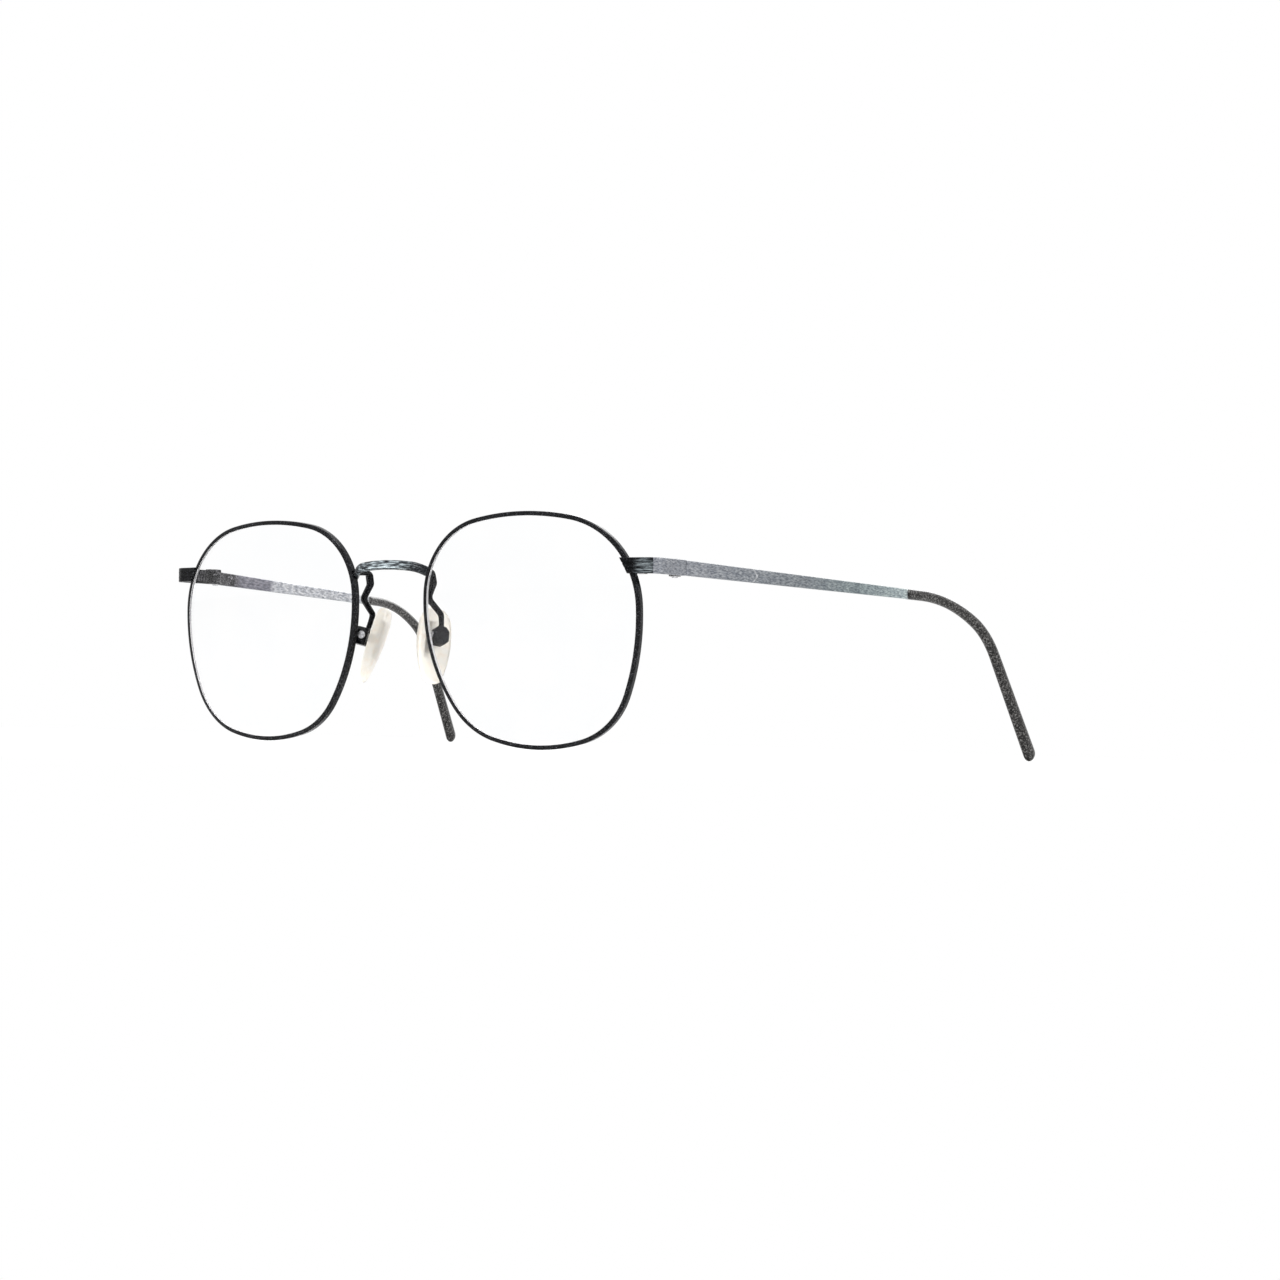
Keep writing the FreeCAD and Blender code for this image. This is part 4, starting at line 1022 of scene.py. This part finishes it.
def blade_rings():
    """Rounded sections along the blade, from the upright joint face into the tip."""
    profile = rounded([(BLADE_OUTER, -1, BLADE_ROUND), (BLADE_OUTER, 1, BLADE_ROUND),
                       (BLADE_INNER, 1, BLADE_ROUND), (BLADE_INNER, -1, BLADE_ROUND)])
    sweep = math.radians(SPLAY)
    rear = BLADE_LENGTH + TIP_MOUTH + BLADE_HIDDEN
    lines = []
    for x, share in profile:
        start = (JOINT_GAP + x * math.sin(sweep)) / math.cos(sweep)
        line = []
        for i in range(BLADE_STATIONS + 1):
            y = start + (rear - start) * i / BLADE_STATIONS
            line.append(temple_place @ Vector((x, y, share * blade_half_height(y))))
        lines.append(line)
    return rings_across(lines)


def chevron_mesh(name, side):
    """A V groove across the outer face that points to the rear."""
    high = BLADE_HEIGHTS[0]
    rings = []
    for rise, half in zip((-CHEVRON_DEPTH, CHEVRON_DEPTH), CHEVRON_HALF_WIDTHS):
        front, rear = CHEVRON_Y - half, CHEVRON_Y + half
        corners = [(front, -high), (rear, -high), (rear + CHEVRON_APEX, 0), (rear, high),
                   (front, high), (front + CHEVRON_APEX, 0)]
        rings.append([temple_place @ Vector((BLADE_OUTER + rise, y, z)) for y, z in corners])
    return mesh_of(name, *skin(rings), side)


def blade_side(local, normal):
    """Material of a face of the blade: 1 inside, 2 in the chevron short of its ends, which carries a
    painted highlight, else 0.
    """
    if normal.x < INWARD_FACE:
        return 1
    near = CHEVRON_Y - CHEVRON_REACH < local.y < CHEVRON_Y + CHEVRON_APEX + CHEVRON_REACH
    sunk = local.x < BLADE_OUTER - CHEVRON_SUNK
    level = abs(local.z) < blade_half_height(local.y) - CHEVRON_EDGE
    return 2 if near and sunk and level and normal.x > CHEVRON_WALL else 0


def make_temples():
    shape = skin(blade_rings())
    for side, name in SIDES:
        turn = side * SPLAY
        outer = brushed(f"outer_metal_{name}", turn, OUTER_TONES, grain=0.2)
        inner = brushed(f"inner_metal_{name}", turn, INNER_TONES, grain=0.4, dark_run=DARK_RUN)
        blank = mesh_of(f"blade_{name}", *shape, side)
        mesh = carved(f"blade_{name}", blank, [chevron_mesh(f"chevron_{name}", side)])
        show(f"brushed_blade_{name}", mesh, [outer, inner, chevron_highlight_finish],
             f"temple_{name}", f"temple_{name}", "temple_metal", weighted=True)
        choose_materials(mesh, side, temple_place, blade_side)


# Temple tips

def tip_place(distance):
    """Point and slope of the tip's middle line at a distance behind the blade's end."""
    point = Vector(((BLADE_OUTER + BLADE_INNER) / 2, BLADE_LENGTH, 0))
    slope = 0.0
    run = min(distance, TIP_STRAIGHT)
    point.y += run
    distance -= run
    for radius, angle in TIP_BENDS:
        turn = min(distance / radius, angle)
        point.y += radius * (math.sin(slope + turn) - math.sin(slope))
        point.z += radius * (math.cos(slope + turn) - math.cos(slope))
        slope += turn
        distance -= radius * turn
    point.y += distance * math.cos(slope)
    point.z -= distance * math.sin(slope)
    return point, slope


def tip_stations(line_end):
    """Distances along the tip and the share of its full section there, rounded at both ends."""
    stations = []
    for i in range(TIP_MOUTH_STEPS + 1):
        angle = QUARTER * i / TIP_MOUTH_STEPS
        distance = TIP_MOUTH + TIP_MOUTH_ROUND * (1 - math.cos(angle))
        stations.append((distance, 1 - TIP_MOUTH_DRAW * (1 - math.sin(angle))))
    full = TIP_MOUTH + TIP_MOUTH_ROUND
    for i in range(1, TIP_STATIONS + 1):
        stations.append((full + (line_end - full) * i / TIP_STATIONS, 1.0))
    for i in range(1, TIP_END_STEPS + 1):
        angle = TIP_END_SWEEP * i / TIP_END_STEPS
        stations.append((line_end + TIP_END_RADIUS * math.sin(angle), math.cos(angle)))
    return stations


def tip_rings():
    """Ovals along the tip, which grows towards its end."""
    line_end = TIP_LENGTH - TIP_END_RADIUS
    rings = []
    for distance, share in tip_stations(line_end):
        grown = (distance - TIP_FLARE_START) / (line_end - TIP_FLARE_START)
        grown = min(max(grown, 0), 1)
        high, wide = (low + (top - low) * grown for low, top in (TIP_HEIGHTS, TIP_THICKNESSES))
        point, slope = tip_place(distance)
        up = Vector((0, math.sin(slope), math.cos(slope)))
        ring = []
        for i in range(TIP_POINTS):
            across, rise = heading(TURN * i / TIP_POINTS)
            offset = Vector((across * wide / 2 * share, 0, 0)) + up * (rise * high / 2 * share)
            ring.append(temple_place @ (point + offset))
        rings.append(ring)
    return rings


def make_tips():
    show_both("moulded_tip", tip_rings(), plastic_finish, "temple", "temple_tip", "tip_plastic",
              sharp=50)


# Nose pads

pad_up = Vector((-math.tan(PAD_FLARE), math.tan(PAD_LEAN), 1)).normalized()
pad_face = Vector((-math.cos(PAD_SPLAY), math.sin(PAD_SPLAY), 0))
pad_face = (pad_face - pad_up * pad_face.dot(pad_up)).normalized()
pad_across = pad_face.cross(pad_up)


def pad_point(x, y, z):
    """A worn point of the left pad: X across it, Y towards the nose, Z up its length."""
    return PAD_PLACE + pad_across * x + pad_face * y + pad_up * z


def pad_outline():
    """Egg of two round ends and two long side arcs."""
    top = Vector((0, PAD_LENGTH / 2 - PAD_TOP_RADIUS))
    low = Vector((0, PAD_BOTTOM_RADIUS - PAD_LENGTH / 2))
    near = PAD_SIDE_RADIUS - PAD_TOP_RADIUS
    far = PAD_SIDE_RADIUS - PAD_BOTTOM_RADIUS
    span = top.y - low.y
    drop = (near**2 - far**2 + span**2) / (2 * span)
    aside = math.sqrt(near**2 - drop**2)
    left = Vector((-aside, top.y - drop))
    right = Vector((aside, top.y - drop))
    high = angle_of(top - left)
    deep = angle_of(low - left)
    return Outline([
        (top, PAD_TOP_RADIUS, high, math.pi - high),
        (right, PAD_SIDE_RADIUS, math.pi - high, math.pi - deep),
        (low, PAD_BOTTOM_RADIUS, math.pi - deep, TURN + deep),
        (left, PAD_SIDE_RADIUS, deep, high),
    ])


def pad_stations():
    """Share of the outline, inset and height of each ring, from the back round to the face."""
    half = PAD_THICKNESS / 2
    shares = [i / PAD_RINGS for i in range(1, PAD_RINGS)]
    stations = [(share, PAD_BACK_ROUND, -half) for share in shares]
    for i in range(PAD_BACK_STEPS + 1):
        angle = QUARTER * i / PAD_BACK_STEPS
        inset = PAD_BACK_ROUND * (1 - math.sin(angle))
        stations.append((1, inset, -half + PAD_BACK_ROUND * (1 - math.cos(angle))))
    for i in range(1, PAD_FRONT_STEPS + 1):
        angle = QUARTER * i / PAD_FRONT_STEPS
        inset = PAD_FRONT_ROUND * (1 - math.cos(angle))
        stations.append((1, inset, half - PAD_CROWN - PAD_FRONT_ROUND * (1 - math.sin(angle))))
    for share in reversed(shares):
        stations.append((share, PAD_FRONT_ROUND, half - PAD_CROWN * share**2))
    return stations


def pad_rings():
    """Rings round the pad, whose face falls back towards the bottom."""
    outline = pad_outline()
    rings = []
    for share, inset, y in pad_stations():
        ring = []
        for i in range(PAD_POINTS):
            x, z = outline.at(outline.length * i / PAD_POINTS, -inset) * share
            low = max(0, PAD_TAPER_START - 2 * z / PAD_LENGTH) / (1 + PAD_TAPER_START)
            thick_share = (y + PAD_THICKNESS / 2) / PAD_THICKNESS
            thinned = PAD_TAPER * low**PAD_TAPER_POWER * thick_share
            ring.append(pad_point(x, y - thinned, z))
        rings.append(ring)
    return rings


def make_pads():
    show_both("moulded_pad", pad_rings(), pad_finish, "pad", "nose_pad", "pad_soft", sharp=60)


# Pad arms

def bent_route(points, bend, steps=8):
    """Straight runs joined by tangent arcs of one radius, as a list of points."""
    route = [points[0]]
    for before, corner, after in zip(points, points[1:], points[2:]):
        back = (before - corner).normalized()
        ahead = (after - corner).normalized()
        middle, leave, arrive = corner_arc(back, corner, ahead, bend)
        route.extend(middle + leave.slerp(arrive, i / steps) for i in range(steps + 1))
    route.append(points[-1])
    return route


def along(points, spacing):
    """Splits the straight stretches between points into steps of about a spacing."""
    result = [points[0]]
    for start, end in zip(points, points[1:]):
        steps = max(1, round((end - start).length / spacing))
        result.extend(start.lerp(end, step / steps) for step in range(1, steps + 1))
    return result


def arm_section(share):
    """Half width and half thickness of the arm at a share of its length, eased between steps."""
    for (low, *first), (high, *second) in zip(ARM_SECTIONS, ARM_SECTIONS[1:]):
        if share <= high:
            break
    ease = (share - low) / (high - low)
    ease = ease * ease * (3 - 2 * ease)
    return [a + (b - a) * ease for a, b in zip(first, second)]


def strap_rings(route, count=24):
    """Flattened sections across a route, their long axis level from side to side."""
    steps = [(b - a).length for a, b in zip(route, route[1:])]
    rings = []
    for i, point in enumerate(route):
        before = route[max(i - 1, 0)]
        after = route[min(i + 1, len(route) - 1)]
        forward = (after - before).normalized()
        wide_way = Vector((1, 0, 0))
        wide_way = (wide_way - forward * wide_way.dot(forward)).normalized()
        thin_way = forward.cross(wide_way)
        wide, thin = arm_section(sum(steps[:i]) / sum(steps))
        rings.append([point + wide_way * (wide * c) + thin_way * (thin * s)
                      for c, s in (heading(TURN * j / count) for j in range(count))])
    return rings


def make_arms():
    box_top = pad_point(*(MOUNT_OFFSET + BOX_TOP))
    corners = [*ARM_POINTS, box_top + pad_up * ARM_DROP, box_top - pad_up * ARM_BURIED]
    rings = strap_rings(along(bent_route(corners, ARM_BEND), ARM_STEP))
    show_both("bent_arm", rings, arm_finish, "front", "pad_arm", "front_lacquer", sharp=50)


# Small fittings keep their frame solids, with edges broken and a better finish

FITTINGS = (
    # node without its side, finish, width of its broken edges
    ("closing_block_upper", fitting_finish, 0.08), ("closing_block_lower", fitting_finish, 0.08),
    ("front_hinge", fitting_finish, 0.08), ("temple_hinge", fitting_finish, 0.08),
    ("pad_box", arm_finish, 0.3), ("closing_screw", screw_finish, 0.04),
    ("hinge_screw", screw_finish, 0.04), ("pad_screw", screw_finish, 0.04),
    ("pad_core", core_finish, 0.06),
)


def make_fittings():
    for _, name in SIDES:
        for fitting, finish, edge in FITTINGS:
            thing = frame["nodes"][f"{fitting}_{name}"]
            thing.data.materials.clear()
            thing.data.materials.append(finish)
            weld = thing.modifiers.new("joined", "WELD")
            weld.merge_threshold = 1e-6
            bevel = thing.modifiers.new("broken_edges", "BEVEL")
            bevel.width = edge * MM
            bevel.segments = 2
            bevel.limit_method = "ANGLE"
            bevel.angle_limit = BREAK_ANGLE
            bevel.harden_normals = True


# Floor, light and camera

def make_floor():
    """White floor that keeps the shadow and, seen far off, fades into the white behind it."""
    finish = Finish("floor")
    place = finish.place()
    finish.set(
        Base_Color=finish.ramp(finish.noise(place, size=300.0), *FLOOR_TINTS),
        Roughness=1.0, Specular_IOR_Level=0.0,
    )
    finish.fade_to_white(place, *FLOOR_FADE)
    bpy.ops.mesh.primitive_plane_add(size=FLOOR_SIZE, location=(0, 0, 0))
    floor = bpy.context.object
    floor.name = "floor"
    floor.data.materials.append(finish.material)


def make_lamp(name, place, diameter, power):
    """A round lamp that looks at the frame."""
    lamp = bpy.data.lights.new(name, "AREA")
    lamp.shape = "DISK"
    lamp.size = diameter
    lamp.energy = power
    light = placed(name, lamp)
    light.location = place
    light.rotation_euler = (LAMP_AIM - place).to_track_quat("-Z", "Y").to_euler()


def make_world():
    """Soft even light, seen as plain white directly, in reflections and through the lenses."""
    world = bpy.data.worlds.new("studio")
    bpy.context.scene.world = world
    tree = Tree(world, "Background", "World Output")
    tree.set(Color=(*WORLD_COLOUR, 1), Strength=WORLD_STRENGTH)
    white = tree.add("ShaderNodeBackground", {"Color": (1, 1, 1, 1)})
    path = tree.add("ShaderNodeLightPath", {}).outputs
    seen = path["Is Camera Ray"]
    for kind in ("Is Transmission Ray", "Is Glossy Ray"):
        seen = tree.compute("MAXIMUM", seen, path[kind])
    undiffused = tree.compute("LESS_THAN", path["Diffuse Depth"], 0.5)
    share = tree.compute("MULTIPLY", seen, undiffused)
    tree.overlay(share, white.outputs[0])


def make_camera():
    """The camera that took the photograph, in the row frame."""
    sin_turn, cos_turn = math.sin(CAMERA_TURN), math.cos(CAMERA_TURN)
    back = Vector((sin_turn * math.cos(CAMERA_RISE), -cos_turn * math.cos(CAMERA_RISE),
                   math.sin(CAMERA_RISE)))
    level = Vector((cos_turn, sin_turn, 0))
    upright = back.cross(level)
    right = level * math.cos(CAMERA_ROLL) + upright * math.sin(CAMERA_ROLL)
    up = upright * math.cos(CAMERA_ROLL) - level * math.sin(CAMERA_ROLL)
    eye = right * CAMERA_ACROSS + up * CAMERA_UP + back * CAMERA_DISTANCE + STAND
    data = bpy.data.cameras.new("camera")
    data.sensor_width = SENSOR_WIDTH
    data.lens = SENSOR_WIDTH * FOCAL_PIXELS / IMAGE_SIDE
    data.clip_start = NEAR_CLIP
    camera = placed("camera", data)
    turn = Matrix((right, up, back)).transposed()
    camera.matrix_world = Matrix.Translation(eye * MM) @ turn.to_4x4()
    bpy.context.scene.camera = camera


make_rims()
make_lenses()
make_bridge()
make_end_pieces()
make_temples()
make_tips()
make_pads()
make_arms()
make_fittings()
make_floor()
for lamp in LAMPS:
    make_lamp(*lamp)
make_world()
make_camera()
bpy.context.scene.view_settings.view_transform = "Standard"
